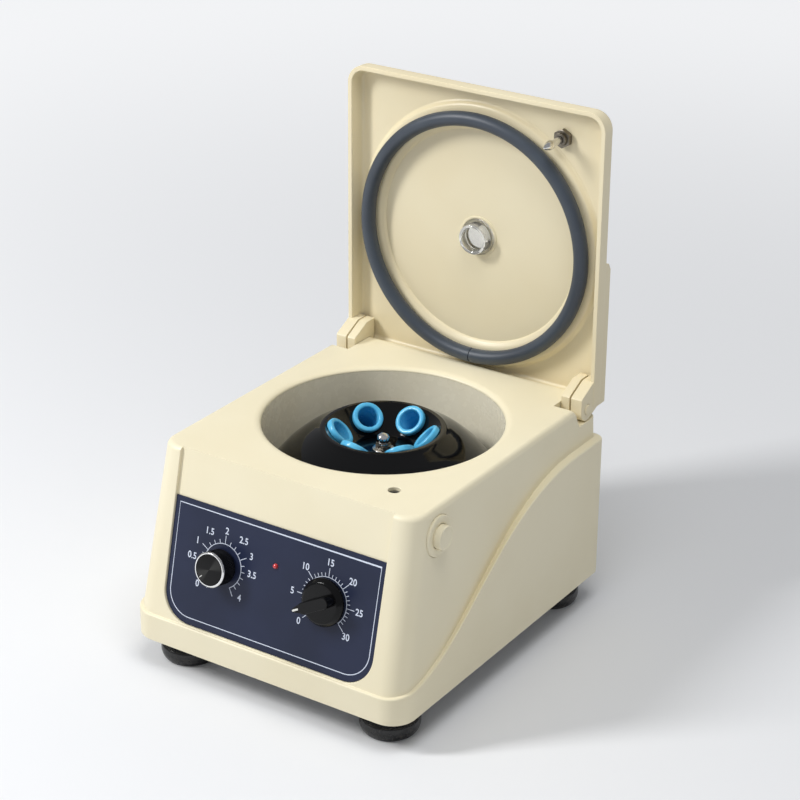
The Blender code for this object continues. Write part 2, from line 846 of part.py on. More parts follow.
def build_drive():
    plate_low = plate_top + gap + damper_height + gap
    plate_high = plate_low + motor_plate_thickness
    motor_plate = cylinder("motor_plate", motor_plate_radius, plate_low, plate_high, 28)
    paint(place(motor_plate, (0, bowl_y, 0)), zinc_steel)
    for i in range(damper_count):
        angle = math.pi / 2 + 2 * math.pi * i / damper_count
        damper = cylinder("damper_%d" % (i + 1), damper_radius, plate_top + gap, plate_low - gap, 12)
        spot = (damper_circle * math.cos(angle), bowl_y + damper_circle * math.sin(angle), 0)
        paint(place(damper, spot), black_rubber)
    low = plate_high + gap
    high = low + motor_length
    bore = shaft_radius + gap
    bore_floor = high + motor_boss_height - motor_bore_depth
    motor_profile = [
        (0, bore_floor),
        (bore, bore_floor),
        (bore, high + motor_boss_height),
        (motor_boss_radius, high + motor_boss_height),
        (motor_boss_radius, high),
        (motor_radius - motor_edge, high),
        (motor_radius, high - motor_edge),
        (motor_radius, low + motor_edge),
        (motor_radius - motor_edge, low),
        (0, low),
    ]
    motor = turned("motor", motor_profile, 24)
    paint(place(motor, (0, bowl_y, 0)), dark_steel)
    shaft_top = -rotor_floor_drop + gap + hub_washer_height + gap + hub_nut_height - motor_edge
    shaft = cylinder("motor_shaft", shaft_radius, bore_floor + gap - top_z, shaft_top)
    paint(place(shaft, parent=rotor_frame), bright_steel)
    return shaft_top


def build_rotor():
    plate_drop = rotor_floor_drop + rotor_plate
    slant = rotor_plate * math.sqrt(2)
    dish_foot = sleeve_mouth_radius + sleeve_mouth_drop + math.sqrt(2) * (sleeve_lip_height + gap)
    inside = rotor_wall * math.sqrt(2)
    profile = [
        (rotor_bore_radius, -rotor_floor_drop),
        (dish_foot - rotor_floor_drop, -rotor_floor_drop),
        (dish_foot - rotor_rim_drop, -rotor_rim_drop),
        (rotor_rim_radius, -rotor_rim_drop),
        (rotor_shoulder_radius, -rotor_shoulder_drop),
        (rotor_cone_radius, -rotor_cone_drop),
        (rotor_skirt_radius, -rotor_skirt_drop),
        (rotor_edge_radius, -rotor_edge_drop),
        (rotor_flange_radius, -rotor_flange_drop),
        (rotor_flange_radius, -rotor_flange_drop - rotor_wall),
        (rotor_edge_radius - rotor_wall / 2, -rotor_flange_drop - rotor_wall),
        (rotor_skirt_radius - rotor_wall / 2, -rotor_skirt_drop - rotor_wall),
        (rotor_rim_radius, -rotor_shoulder_drop - inside),
        (dish_foot - plate_drop + slant, -plate_drop),
        (rotor_hub_radius, -plate_drop),
        (rotor_hub_radius, -rotor_hub_drop),
        (rotor_bore_radius, -rotor_hub_drop),
    ]
    rotor = turned("rotor", profile, 42, ring=True)
    place(rotor, parent=rotor_frame)
    for i in range(sleeve_count):
        angle = sleeve_first_angle + 2 * math.pi * i / sleeve_count
        spot = (
            sleeve_mouth_radius * math.cos(angle),
            sleeve_mouth_radius * math.sin(angle),
            -sleeve_mouth_drop,
        )
        turn = (0, -sleeve_tilt, angle)
        hole = cylinder("sleeve_hole_%d" % (i + 1), sleeve_radius + gap, -sleeve_length, 0, 18)
        combine(rotor, place(hole, spot, turn, rotor_frame))
        seat_radius = sleeve_lip_radius + gap
        lip_seat = cylinder("sleeve_seat_%d" % (i + 1), seat_radius, -sleeve_lip_height - gap, overrun)
        combine(rotor, place(lip_seat, spot, turn, rotor_frame))
        build_sleeve(i + 1, spot, turn)
    paint(rotor, black_plastic)

    adapter_profile = [
        (shaft_radius + gap, -rotor_floor_drop),
        (rotor_bore_radius - gap, -rotor_floor_drop),
        (rotor_bore_radius - gap, -rotor_hub_drop),
        (shaft_radius + gap, -rotor_hub_drop),
    ]
    adapter = turned("rotor_adapter", adapter_profile, 16, ring=True)
    paint(place(adapter, parent=rotor_frame), brass)
    washer_low = -rotor_floor_drop + gap
    washer_profile = [
        (shaft_radius + gap, washer_low + hub_washer_height),
        (hub_washer_radius, washer_low + hub_washer_height),
        (hub_washer_radius, washer_low),
        (shaft_radius + gap, washer_low),
    ]
    washer = turned("hub_washer", washer_profile, 20, ring=True)
    paint(place(washer, parent=rotor_frame), bright_steel)


def build_sleeve(number, spot, turn):
    rounding = sleeve_bore_radius / 2
    profile = [
        (0, sleeve_floor - sleeve_length),
        (sleeve_bore_radius, sleeve_floor + rounding - sleeve_length),
        (sleeve_bore_radius, 0),
        (sleeve_lip_radius - sleeve_lip_edge, 0),
        (sleeve_lip_radius, -sleeve_lip_edge),
        (sleeve_lip_radius, -sleeve_lip_height),
        (sleeve_radius, -sleeve_lip_height),
        (sleeve_radius, rounding - sleeve_length),
        (rounding, -sleeve_length),
        (0, -sleeve_length),
    ]
    sleeve = turned("tube_sleeve_%d" % number, profile, 18)
    paint(place(sleeve, spot, turn, rotor_frame), sleeve_blue)


def build_hub_nut(shaft_top):
    low = -rotor_floor_drop + gap + hub_washer_height + gap
    high = low + hub_nut_height
    nut = cylinder("hub_nut", hexagon_radius(hub_nut_flats), low, high, 6)
    place(nut, parent=rotor_frame)
    steps = 6
    ball = arc((0, -hub_ball_drop), hub_ball_radius, math.pi / 2, -math.pi / 3, steps)
    ball[0] = (0, hub_ball_radius - hub_ball_drop)
    neck = ball[-1][0]
    dome = turned("hub_dome", ball + [(neck, high - gap), (0, high - gap)], 16)
    join(nut, place(dome, parent=rotor_frame))
    bore = cylinder("hub_nut_bore", shaft_radius + gap, low - overrun, shaft_top + gap)
    combine(nut, place(bore, parent=rotor_frame))
    paint(nut, bright_steel)


def build_panel():
    shape = panel_outline(panel_half_width, panel_top, panel_bottom, panel_corner)
    panel = prism("control_panel", shape, panel_thickness)
    place(panel, (0, 0, panel_face - panel_thickness / 2), parent=panel_frame)
    for name, x, down, radius in (
        ("speed", speed_across, speed_down, bush_radius),
        ("timer", timer_across, timer_down, bush_radius),
        ("lamp", lamp_across, lamp_down, lamp_radius),
    ):
        hole = cylinder(name + "_window", radius + gap, -2 * recess_depth, overrun)
        combine(panel, seat(hole, x, down))
    paint(panel, panel_navy)

    stand = panel_face + lamp_stand
    back = wall_back - gap
    lamp_profile = arc((0, stand), lamp_radius, math.pi / 2, 0, 4)
    lamp_profile[0] = (0, stand + lamp_radius)
    lamp_profile += [
        (lamp_radius, back),
        (lamp_radius + lamp_flange, back),
        (lamp_radius + lamp_flange, back - lamp_flange_height),
        (0, back - lamp_flange_height),
    ]
    paint(seat(turned("power_lamp", lamp_profile, 12), lamp_across, lamp_down), red_plastic)


def build_control(name, body, x, down):
    """The bush, its bored middle and its nut, for a control whose body sits behind the wall."""
    back = wall_back - gap
    bush = cylinder(name + "_bush", bush_radius, back - spindle_radius, bush_reach, 20)
    join(body, seat(bush, x, down))
    bore = cylinder(name + "_bore", spindle_radius + gap, -spindle_depth, bush_reach + overrun, 20)
    combine(body, seat(bore, x, down))
    nut_low = panel_face + gap
    nut = cylinder(name + "_nut", hexagon_radius(bush_nut_flats), nut_low, nut_low + bush_nut_height, 6)
    hole = cylinder(name + "_nut_bore", bush_radius + gap, panel_face - overrun, bush_reach + overrun, 20)
    combine(nut, seat(hole, x, down))
    paint(seat(nut, x, down), zinc_steel)


def build_spindle(name, frame):
    spindle = cylinder(name, spindle_radius, gap - spindle_depth, spindle_grip - gap, 16)
    paint(place(spindle, parent=frame), zinc_steel)


def build_speed_control():
    back = wall_back - gap
    pot = cylinder("speed_potentiometer", pot_radius, back - pot_depth, back, 28)
    seat(pot, speed_across, speed_down)
    build_control("speed", pot, speed_across, speed_down)
    paint(pot, zinc_steel)
    build_spindle("speed_shaft", speed_frame)

    ring_inner = speed_knob_radius - speed_ring_width
    ring_low = speed_knob_face - speed_ring_height
    profile = [
        (0, spindle_grip),
        (spindle_radius + gap, spindle_grip),
        (spindle_radius + gap, knob_nut_room_depth),
        (knob_nut_room_radius, knob_nut_room_depth),
        (knob_nut_room_radius, speed_knob_base),
        (speed_knob_radius, speed_knob_base),
        (speed_knob_radius, ring_low),
        (ring_inner - gap, ring_low),
        (ring_inner - gap, speed_knob_face),
        (0, speed_knob_face),
    ]
    knob = turned("speed_knob", list(reversed(profile)), 24)
    paint(place(knob, parent=speed_frame), black_plastic)
    ring_profile = [
        (ring_inner, speed_knob_face),
        (speed_knob_radius - speed_ring_width / 2, speed_knob_face),
        (speed_knob_radius, speed_knob_face - speed_ring_height / 2),
        (speed_knob_radius, ring_low + gap),
        (ring_inner, ring_low + gap),
    ]
    ring = turned("speed_knob_ring", ring_profile, 24, ring=True)
    paint(place(ring, parent=speed_frame), bright_steel)


def build_timer_control():
    back = wall_back - gap
    half = timer_half_width
    body = box("timer_mechanism", (-half, -half, back - timer_depth), (half, half, back))
    seat(body, timer_across, timer_down)
    build_control("timer", body, timer_across, timer_down)
    paint(body, zinc_steel)
    build_spindle("timer_shaft", timer_frame)

    profile = [
        (0, timer_skirt_high),
        (timer_skirt_top_radius, timer_skirt_high),
        (timer_knob_radius, timer_skirt_low),
        (timer_knob_radius, timer_knob_base),
        (0, timer_knob_base),
    ]
    knob = turned("timer_knob", profile, 28)
    place(knob, parent=timer_frame)
    side = timer_grip_half_width
    end = timer_grip_half_length - side
    grip_outline = arc((0, end), side, 0, math.pi, 6) + arc((0, -end), side, math.pi, 2 * math.pi, 6)
    grip = prism("timer_grip", grip_outline, timer_grip_face - timer_skirt_low)
    join(knob, place(grip, (0, 0, (timer_grip_face + timer_skirt_low) / 2), parent=timer_frame))
    pointer_outline = [
        (side, 0),
        (side, timer_grip_half_length),
        (timer_pointer_tip, timer_pointer_reach),
        (-timer_pointer_tip, timer_pointer_reach),
        (-side, timer_grip_half_length),
        (-side, 0),
    ]
    pointer = prism("timer_pointer", pointer_outline, timer_pointer_face - timer_knob_base - gap)
    pointer_z = (timer_pointer_face + timer_knob_base + gap) / 2
    join(knob, place(pointer, (0, 0, pointer_z), parent=timer_frame))
    room = cylinder("timer_nut_room", knob_nut_room_radius, timer_knob_base - overrun, knob_nut_room_depth)
    combine(knob, place(room, parent=timer_frame))
    bore = cylinder("timer_knob_bore", spindle_radius + gap, 0, spindle_grip, 16)
    combine(knob, place(bore, parent=timer_frame))
    paint(knob, black_plastic)


def lid_outline(inset, height):
    """The lid's outline, drawn in by an inset, from the hinge axis with the lid shut."""
    return rounded(
        lid_half_width - inset,
        inset - lid_front_reach,
        lid_rear_reach - inset,
        lid_front_corner - min(inset, lid_front_corner / 2),
        lid_rear_corner - min(inset, lid_rear_corner / 2),
        height,
    )


def ear_outline():
    """A hinge ear from the side, with the lid shut: up to the lid, and down round the hinge axis."""
    heel = arc((0, 0), ear_radius, -math.pi / 2, ear_heel_angle, 8)
    return [
        (-ear_front_reach, lid_floor_height + gap),
        (-ear_front_reach, lid_rim_height),
        (-ear_toe_reach, -ear_radius),
        *heel,
        (lid_rear_reach - gap, lid_rear_lift),
        (lid_rear_reach - gap, lid_floor_height + gap),
    ]


def build_lid_shell():
    side_top = lid_rim_height + lid_side_height
    sections = [lid_outline(0, lid_rim_height)]
    edge = lid_top_height - side_top
    steps = 4
    for i in range(steps + 1):
        angle = math.pi / 2 * i / steps
        sections.append(lid_outline(edge * (1 - math.cos(angle)), side_top + edge * math.sin(angle)))
    shell = loft("lid_shell", sections)
    place(shell, parent=lid_frame)

    side_x = lid_half_width - rail_side_step
    for side, name in ((-1, "left"), (1, "right")):
        inner_x = side_x - rail_width
        rail = box(
            "rail_" + name,
            (min(side * inner_x, side * side_x), -rail_reach, side_top),
            (max(side * inner_x, side * side_x), lid_rear_reach - rail_side_step, rail_top_height),
        )
        join(shell, place(rail, parent=lid_frame))

    hollow = loft(
        "lid_hollow",
        [
            lid_outline(lid_rim_width, lid_rim_height - overrun),
            lid_outline(lid_rim_width, lid_rim_height),
            lid_outline(lid_rim_width + lid_rim_draft, lid_floor_height),
        ],
    )
    combine(shell, place(hollow, parent=lid_frame))

    seat_half = gasket_seat_width / 2
    seat_low = lid_floor_height - gasket_seat_height()
    ring_profile = [
        (gasket_radius - seat_half, lid_floor_height + gap),
        (gasket_radius + seat_half, lid_floor_height + gap),
        (gasket_radius + seat_half, seat_low),
        (gasket_radius - seat_half, seat_low),
    ]
    ring = turned("gasket_seat", ring_profile, 36, ring=True)
    centre_y = bowl_y - hinge_y
    join(shell, place(ring, (0, centre_y, 0), parent=lid_frame))

    rear_cut = box(
        "rear_wall_cut",
        (-ear_inner_x, -lid_rim_width - 2 * overrun, lid_rim_height - overrun),
        (ear_inner_x, lid_rear_reach + overrun, lid_rear_lift),
    )
    combine(shell, place(rear_cut, parent=lid_frame))

    for side, name in ((-1, "left"), (1, "right")):
        low_x = min(side * ear_inner_x, side * side_x)
        high_x = max(side * ear_inner_x, side * side_x)
        ear = across("ear_" + name, ear_outline(), low_x, high_x)
        ear.parent = lid_frame
        join(shell, ear)
    for side, name in ((-1, "left"), (1, "right")):
        slot = box(
            "ear_slot_" + name,
            (-slot_half_width, -ear_front_reach - overrun, -ear_radius - overrun),
            (slot_half_width, ear_radius + overrun, lid_floor_height - wall),
        )
        combine(shell, place(slot, (side * tab_centre_x, 0, 0), parent=lid_frame))
        turn = (0, side * math.pi / 2, 0)
        bore_low = ear_inner_x - overrun
        bore = cylinder("pin_bore_" + name, hinge_pin_radius + gap, bore_low, lid_half_width + overrun, 20)
        combine(shell, place(bore, (0, 0, 0), turn, lid_frame))
        head_x = side_x - hinge_pin_head_height - gap
        sink = cylinder("pin_sink_" + name, hinge_pin_head_radius + gap, head_x, lid_half_width + overrun)
        combine(shell, place(sink, (0, 0, 0), turn, lid_frame))
        build_hinge(side, name, turn, head_x, side_x)

    hole_low = lid_floor_height - overrun
    hole_high = lid_top_height + overrun
    opening = cylinder("window_hole", window_radius + gap, hole_low, hole_high, 24)
    combine(shell, place(opening, (0, centre_y, 0), parent=lid_frame))
    pin_spot = (latch_x, latch_y - hinge_y, 0)
    pin_hole = cylinder("pin_hole", pin_neck_radius + gap, hole_low, hole_high, 16)
    combine(shell, place(pin_hole, pin_spot, parent=lid_frame))
    return paint(shell, lid_cream)


def gasket_seat_height():
    """How far the gasket's seat stands down from the lid's floor: the shut gasket clears the housing."""
    gasket_top = hinge_drop + gap + gasket_thickness
    return lid_floor_height - gasket_top - gap


def build_hinge(side, name, turn, head_x, side_x):
    head_low = head_x + gap
    pin_profile = [
        (0, side_x - gap),
        (hinge_pin_head_radius, side_x - gap),
        (hinge_pin_head_radius, head_low),
        (hinge_pin_radius, head_low),
        (hinge_pin_radius, ear_inner_x + gap),
        (0, ear_inner_x + gap),
    ]
    pin = turned("hinge_pin_" + name, pin_profile, 14)
    paint(place(pin, (0, 0, 0), turn, lid_frame), zinc_steel)

    outline = arc((hinge_y, hinge_z), tab_radius, 0, math.pi, 10)
    foot_z = hinge_z - tab_reach_below
    outline += [(hinge_y - tab_radius, foot_z), (hinge_y + tab_radius, foot_z)]
    centre_x = side * tab_centre_x
    tab = across("hinge_tab_" + name, outline, centre_x - tab_thickness / 2, centre_x + tab_thickness / 2)
    hole = cylinder("tab_hole_" + name, hinge_pin_radius + gap, -overrun, overrun, 20)
    combine(tab, place(hole, (centre_x, hinge_y, hinge_z), (0, math.pi / 2, 0)))
    paint(tab, zinc_steel)


def build_gasket():
    minor = gasket_thickness / 2
    bpy.ops.mesh.primitive_torus_add(
        major_radius=gasket_radius, minor_radius=minor, major_segments=48, minor_segments=8
    )
    gasket = bpy.context.object
    gasket.name = "lid_gasket"
    for collection in list(gasket.users_collection):
        collection.objects.unlink(gasket)
    parts.objects.link(gasket)
    gasket.data.shade_smooth()
    place(gasket, (0, bowl_y - hinge_y, hinge_drop + gap + minor), parent=lid_frame)
    paint(gasket, gasket_grey)


def build_window():
    low = lid_floor_height - window_inner_reach
    flange_low = lid_top_height + gap
    flange_high = flange_low + window_flange_height
    lens_low = lid_top_height - window_lens_thickness
    profile = [
        (0, flange_high),
        (window_flange_radius, flange_high),
        (window_flange_radius, flange_low),
        (window_radius, flange_low),
        (window_radius, low),
        (window_bore_radius, low),
        (window_bore_radius, lens_low),
        (0, lens_low),
    ]
    spot = (0, bowl_y - hinge_y, 0)
    paint(place(turned("lid_window", profile, 24), spot, parent=lid_frame), clear_plastic)
    nut_high = lid_floor_height - gap
    nut_profile = [
        (window_radius + gap, nut_high),
        (window_nut_radius, nut_high),
        (window_nut_radius, nut_high - window_nut_height),
        (window_radius + gap, nut_high - window_nut_height),
    ]
    paint(place(turned("window_nut", nut_profile, 24, ring=True), spot, parent=lid_frame), clear_plastic)


def build_latch_pin():
    spot = (latch_x, latch_y - hinge_y, 0)
    head_low = lid_top_height + gap
    profile = [
        (0, head_low + pin_head_height),
        (pin_head_radius, head_low + pin_head_height),
        (pin_head_radius, head_low),
        (pin_neck_radius, head_low),
        (pin_neck_radius, pin_tip_height + pin_bullet_length),
        (pin_radius, pin_tip_height + pin_bullet_length),
        (pin_radius, pin_tip_height + pin_cone_length),
        (pin_tip_radius, pin_tip_height),
        (0, pin_tip_height),
    ]
    paint(place(turned("latch_pin", profile, 16), spot, parent=lid_frame), bright_steel)
    high = lid_floor_height - gap
    low = high - latch_nut_height
    nut = cylinder("latch_nut", hexagon_radius(latch_nut_flats), low, high, 6)
    place(nut, spot, (0, 0, math.pi / 6), lid_frame)
    collar = cylinder("latch_nut_collar", latch_collar_radius, low - latch_collar_height, low + gap, 20)
    join(nut, place(collar, spot, parent=lid_frame))
    bore = cylinder("latch_nut_bore", pin_neck_radius + gap, low - 2 * overrun, high + overrun, 20)
    combine(nut, place(bore, spot, parent=lid_frame))
    paint(nut, dark_steel)


def build_release():
    """The button, the collar round it, the slide that holds the pin's neck, and what carries them."""
    side = (0, math.pi / 2, 0)
    collar_profile = [
        (button_radius + gap, collar_depth),
        (collar_radius - button_edge, collar_depth),
        (collar_radius, collar_depth - button_edge),
        (collar_radius, gap),
        (button_radius + gap, gap),
    ]
    collar = turned("button_collar", collar_profile, 28, ring=True)
    paint(place(collar, (collar_seat_x, button_y, button_z), side), cream)

    leg_x = slide_leg_x + slide_thickness + gap
    button_profile = [
        (0, 0),
        (button_radius - button_edge, 0),
        (button_radius, -button_edge),
        (button_radius, -button_length),
        (stem_radius, -button_length),
        (stem_radius, leg_x - button_face_x),
        (0, leg_x - button_face_x),
    ]
    button = turned("release_button", button_profile, 24)
    paint(place(button, (button_face_x, button_y, button_z), side), cream)

    slide_top = top_z - slide_drop
    slide_low = slide_top - slide_thickness
    slide_y = (latch_y + button_y) / 2
    grip_x = latch_x - pin_neck_radius - gap
    slide = box(
        "latch_slide",
        (grip_x - slide_margin, slide_y - slide_half_width, slide_low),
        (slide_leg_x + slide_thickness, slide_y + slide_half_width, slide_top),
    )
    leg = box(
        "slide_leg",
        (slide_leg_x, button_y - stem_radius - gap, button_z - stem_radius),
        (slide_leg_x + slide_thickness, button_y + stem_radius + gap, slide_top - gap),
    )
    join(slide, leg)
    reach = latch_x + pin_radius + button_travel + gap - grip_x
    hole_half = pin_radius + gap
    end = reach - 2 * hole_half
    hole_outline = arc((end, 0), hole_half, -math.pi / 2, math.pi / 2, 8)
    hole_outline += arc((0, 0), hole_half, math.pi / 2, 1.5 * math.pi, 8)
    hole = prism("slide_hole", hole_outline, 4 * slide_thickness)
    combine(slide, place(hole, (grip_x + hole_half, latch_y, (slide_top + slide_low) / 2)))
    paint(slide, bright_steel)
    build_bracket(slide_low, slide_y, grip_x)
    build_spring()


def build_bracket(slide_low, slide_y, grip_x):
    high = slide_low - gap
    low = high - bracket_thickness
    half = slide_half_width + gap + bracket_post
    start_x = grip_x - slide_margin - button_travel - bracket_post
    bracket = box(
        "latch_bracket",
        (start_x, slide_y - half, low),
        (flange_x + bracket_thickness, slide_y + half, high),
    )
    for side, name in ((-1, "front"), (1, "rear")):
        near = slide_half_width + gap
        post = box(
            "bracket_post_" + name,
            (start_x, min(side * near, side * half) + slide_y, low + gap),
            (flange_x + bracket_thickness, max(side * near, side * half) + slide_y, top_z - top_wall - gap),
        )
        join(bracket, post)
    flange = box(
        "bracket_flange",
        (flange_x, button_y - flange_half_width, button_z - flange_below_stem),
        (flange_x + bracket_thickness, button_y + flange_half_width, high - gap),
    )
    join(bracket, flange)
    pin_way = cylinder("pin_way", latch_hole_radius + gap, low - overrun, high + overrun)
    combine(bracket, place(pin_way, (latch_x, latch_y, 0)))
    leg_way = box(
        "leg_way",
        (slide_leg_x - button_travel - gap, button_y - stem_radius - 2 * gap, low - overrun),
        (slide_leg_x + slide_thickness + gap, button_y + stem_radius + 2 * gap, high + overrun),
    )
    combine(bracket, leg_way)
    stem_way = cylinder("stem_way", stem_radius + gap, -overrun, overrun, 20)
    way_x = flange_x + bracket_thickness / 2
    combine(bracket, place(stem_way, (way_x, button_y, button_z), (0, math.pi / 2, 0)))
    paint(bracket, zinc_steel)

    switch_x = latch_x - latch_hole_radius - gap
    switch_high = low - gap
    switch = box(
        "interlock_switch",
        (switch_x - switch_width, latch_y - switch_length / 2, switch_high - switch_height),
        (switch_x, latch_y + switch_length / 2, switch_high),
    )
    post_high = switch_high - switch_height + switch_lever
    lever_low = switch_high - switch_height - switch_lever_reach / 2
    lever = box(
        "switch_lever",
        (switch_x - switch_width / 2, latch_y - switch_lever_reach / 2, lever_low),
        (switch_x + switch_lever_reach, latch_y + switch_lever_reach / 2, lever_low + switch_lever),
    )
    post = box(
        "switch_lever_post",
        (switch_x - switch_width / 2, latch_y - switch_lever, lever_low),
        (switch_x - switch_width / 4, latch_y + switch_lever, post_high),
    )
    join(switch, post)
    join(switch, lever)
    paint(switch, black_plastic)


def build_spring():
    """The spring round the button's stem: one unbroken wire, with its least gap to itself printed."""
    start = flange_x + bracket_thickness + gap + spring_wire
    end = button_face_x - button_length - gap - spring_wire
    turn_points = 10
    count = spring_turns * turn_points
    points = []
    for i in range(count + 1):
        angle = 2 * math.pi * i / turn_points
        x = start + (end - start) * i / count
        points.append(Vector((x, spring_radius * math.cos(angle), spring_radius * math.sin(angle))))
    least = min(
        (points[i] - points[j]).length
        for i in range(count + 1)
        for j in range(i + turn_points // 2, count + 1)
    )
    print("button spring, least gap between turns: %.2f mm" % (1000 * (least - 2 * spring_wire)))
    curve = bpy.data.curves.new("button_spring", "CURVE")
    curve.dimensions = "3D"
    curve.bevel_depth = spring_wire
    curve.bevel_resolution = 1
    curve.use_fill_caps = True
    spline = curve.splines.new("POLY")
    spline.points.add(count)
    for place_point, point in zip(spline.points, points):
        place_point.co = (*point, 1)
    spring = bpy.data.objects.new("button_spring", curve)
    parts.objects.link(spring)
    spring = frozen(spring)
    paint(place(spring, (0, button_y, button_z)), bright_steel)


def build_electrics():
    low = plate_top + standoff_height + gap
    high = low + board_thickness
    board_y = front_y + board_from_front
    board = box(
        "circuit_board",
        (board_x - board_half_width, board_y - board_half_depth, low),
        (board_x + board_half_width, board_y + board_half_depth, high),
    )
    inside = high - board_thickness / 2
    transformer_x = board_x - board_half_width / 2
    transformer = box(
        "transformer",
        (transformer_x - transformer_half_width, board_y - transformer_half_depth, inside),
        (transformer_x + transformer_half_width, board_y + transformer_half_depth, high + transformer_height),
    )
    join(board, transformer)
    for i in range(2):
        can = cylinder("capacitor_%d" % (i + 1), capacitor_radius, inside, high + capacitor_height, 20)
        join(board, place(can, (board_x + capacitor_radius + i * capacitor_spacing, board_y, 0)))
    paint(board, board_green)

    spot = (inlet_x, back_y, bottom_z + inlet_height)
    inlet = box(
        "mains_inlet",
        (-inlet_half_width, -inlet_depth, -inlet_half_height),
        (inlet_half_width, inlet_flange_thickness, inlet_half_height),
    )
    place(inlet, spot)
    flange = box(
        "inlet_flange",
        (-inlet_flange_half_width, gap, -inlet_flange_half_height),
        (inlet_flange_half_width, inlet_flange_thickness - gap, inlet_flange_half_height),
    )
    join(inlet, place(flange, spot))
    socket = box(
        "inlet_socket",
        (-inlet_socket_half_width, inlet_flange_thickness - inlet_socket_depth, -inlet_socket_half_height),
        (inlet_socket_half_width, inlet_flange_thickness + overrun, inlet_socket_half_height),
    )
    combine(inlet, place(socket, spot))
    pin_start = inlet_flange_thickness - inlet_socket_depth - gap
    for i in range(3):
        x = (i - 1) * inlet_pin_spacing
        z = inlet_pin_offset if i == 1 else -inlet_pin_offset
        pin = box(
            "inlet_pin_%d" % (i + 1),
            (x - inlet_pin_half_height, pin_start, z - inlet_pin_half_width),
            (x + inlet_pin_half_height, pin_start + inlet_pin_length, z + inlet_pin_half_width),
        )
        join(inlet, place(pin, spot))
    paint(inlet, black_plastic)

    holder_profile = [
        (0, gap + fuse_cap_height),
        (fuse_cap_radius - motor_edge / 2, gap + fuse_cap_height),
        (fuse_cap_radius, gap + fuse_cap_height - motor_edge / 2),
        (fuse_cap_radius, gap),
        (fuse_radius, gap),
        (fuse_radius, -fuse_depth),
        (0, -fuse_depth),
    ]
    holder = turned("fuse_holder", holder_profile, 16)
    place(holder, (fuse_x, back_y, bottom_z + inlet_height), (-math.pi / 2, 0, 0))
    paint(holder, black_plastic)


build_body_shell()
build_base()
build_bowl()
shaft_end = build_drive()
build_rotor()
build_hub_nut(shaft_end)
build_panel()
build_speed_control()
build_timer_control()
build_lid_shell()
build_gasket()
build_window()
build_latch_pin()
build_release()
build_electrics()
bpy.context.view_layer.update()
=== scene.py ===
import math

import bmesh
import bpy
from mathutils import Matrix, Vector


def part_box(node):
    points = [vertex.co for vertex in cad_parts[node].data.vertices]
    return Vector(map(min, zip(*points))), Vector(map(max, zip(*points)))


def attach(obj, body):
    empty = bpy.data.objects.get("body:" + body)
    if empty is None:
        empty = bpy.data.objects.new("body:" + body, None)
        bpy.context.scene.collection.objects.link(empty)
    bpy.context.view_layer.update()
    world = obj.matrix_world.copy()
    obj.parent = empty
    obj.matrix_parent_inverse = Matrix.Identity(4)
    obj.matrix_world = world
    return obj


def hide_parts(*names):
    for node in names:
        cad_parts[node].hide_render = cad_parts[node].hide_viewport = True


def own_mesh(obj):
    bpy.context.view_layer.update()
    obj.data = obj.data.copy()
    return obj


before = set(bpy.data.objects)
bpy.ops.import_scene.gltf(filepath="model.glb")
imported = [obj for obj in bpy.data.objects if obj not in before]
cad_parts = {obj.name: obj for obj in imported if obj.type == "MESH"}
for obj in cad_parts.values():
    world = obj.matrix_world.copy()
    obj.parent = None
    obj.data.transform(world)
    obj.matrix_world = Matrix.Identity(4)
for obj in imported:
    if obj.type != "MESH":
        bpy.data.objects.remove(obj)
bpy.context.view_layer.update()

# Rubber feet
# Four black rubber bumpers, moulded in one shot with a flared skirt and a well in the sole for a screw.
# The rubber is polished by its mould, and picks up dust near the bench.


def feed(tree, socket, value):
    """Gives a socket a wire or a plain value."""
    if isinstance(value, Wire):
        tree.links.new(value.socket, socket)
    else:
        socket.default_value = value


def add_node(tree, kind, settings=None, sockets=None, output=0):
    """Adds one node: its settings first, then the values or wires of its sockets."""
    node = tree.nodes.new(kind)
    for name, value in (settings or {}).items():
        if name == "stops":
            ramp = node.color_ramp.elements
            while len(ramp) < len(value):
                ramp.new(1.0)
            for stop, (position, colour) in zip(ramp, value):
                stop.position = position
                stop.color = colour
        else:
            setattr(node, name, value)
    for name, value in (sockets or {}).items():
        feed(tree, node.inputs[name], value)
    return Wire(tree, node.outputs[output])


class Wire:
    """An output in a node tree. A sum written with it adds the Math nodes that work it out."""

    def __init__(self, tree, socket):
        self.tree = tree
        self.socket = socket

    def math(self, operation, *values):
        return add_node(self.tree, "ShaderNodeMath", {"operation": operation}, dict(enumerate(values)))

    def __add__(self, other):
        return self.math("ADD", self, other)

    __radd__ = __add__

    def __sub__(self, other):
        return self.math("SUBTRACT", self, other)

    def __rsub__(self, other):
        return self.math("SUBTRACT", other, self)

    def __mul__(self, other):
        return self.math("MULTIPLY", self, other)

    __rmul__ = __mul__

    def __truediv__(self, other):
        return self.math("DIVIDE", self, other)

    def __rtruediv__(self, other):
        return self.math("DIVIDE", other, self)

    def __pow__(self, other):
        return self.math("POWER", self, other)

    def __mod__(self, other):
        return self.math("FLOORED_MODULO", self, other)

    def __neg__(self):
        return 0 - self

    def __gt__(self, other):
        return self.math("GREATER_THAN", self, other)

    def __lt__(self, other):
        return self.math("LESS_THAN", self, other)

    def ramp(self, low, high):
        """0 up to one value and 1 from the other, and smooth between them."""
        span = add_node(
            self.tree,
            "ShaderNodeMapRange",
            {"interpolation_type": "SMOOTHSTEP"},
            {"Value": self, "From Min": low, "From Max": high},
        )
        return span


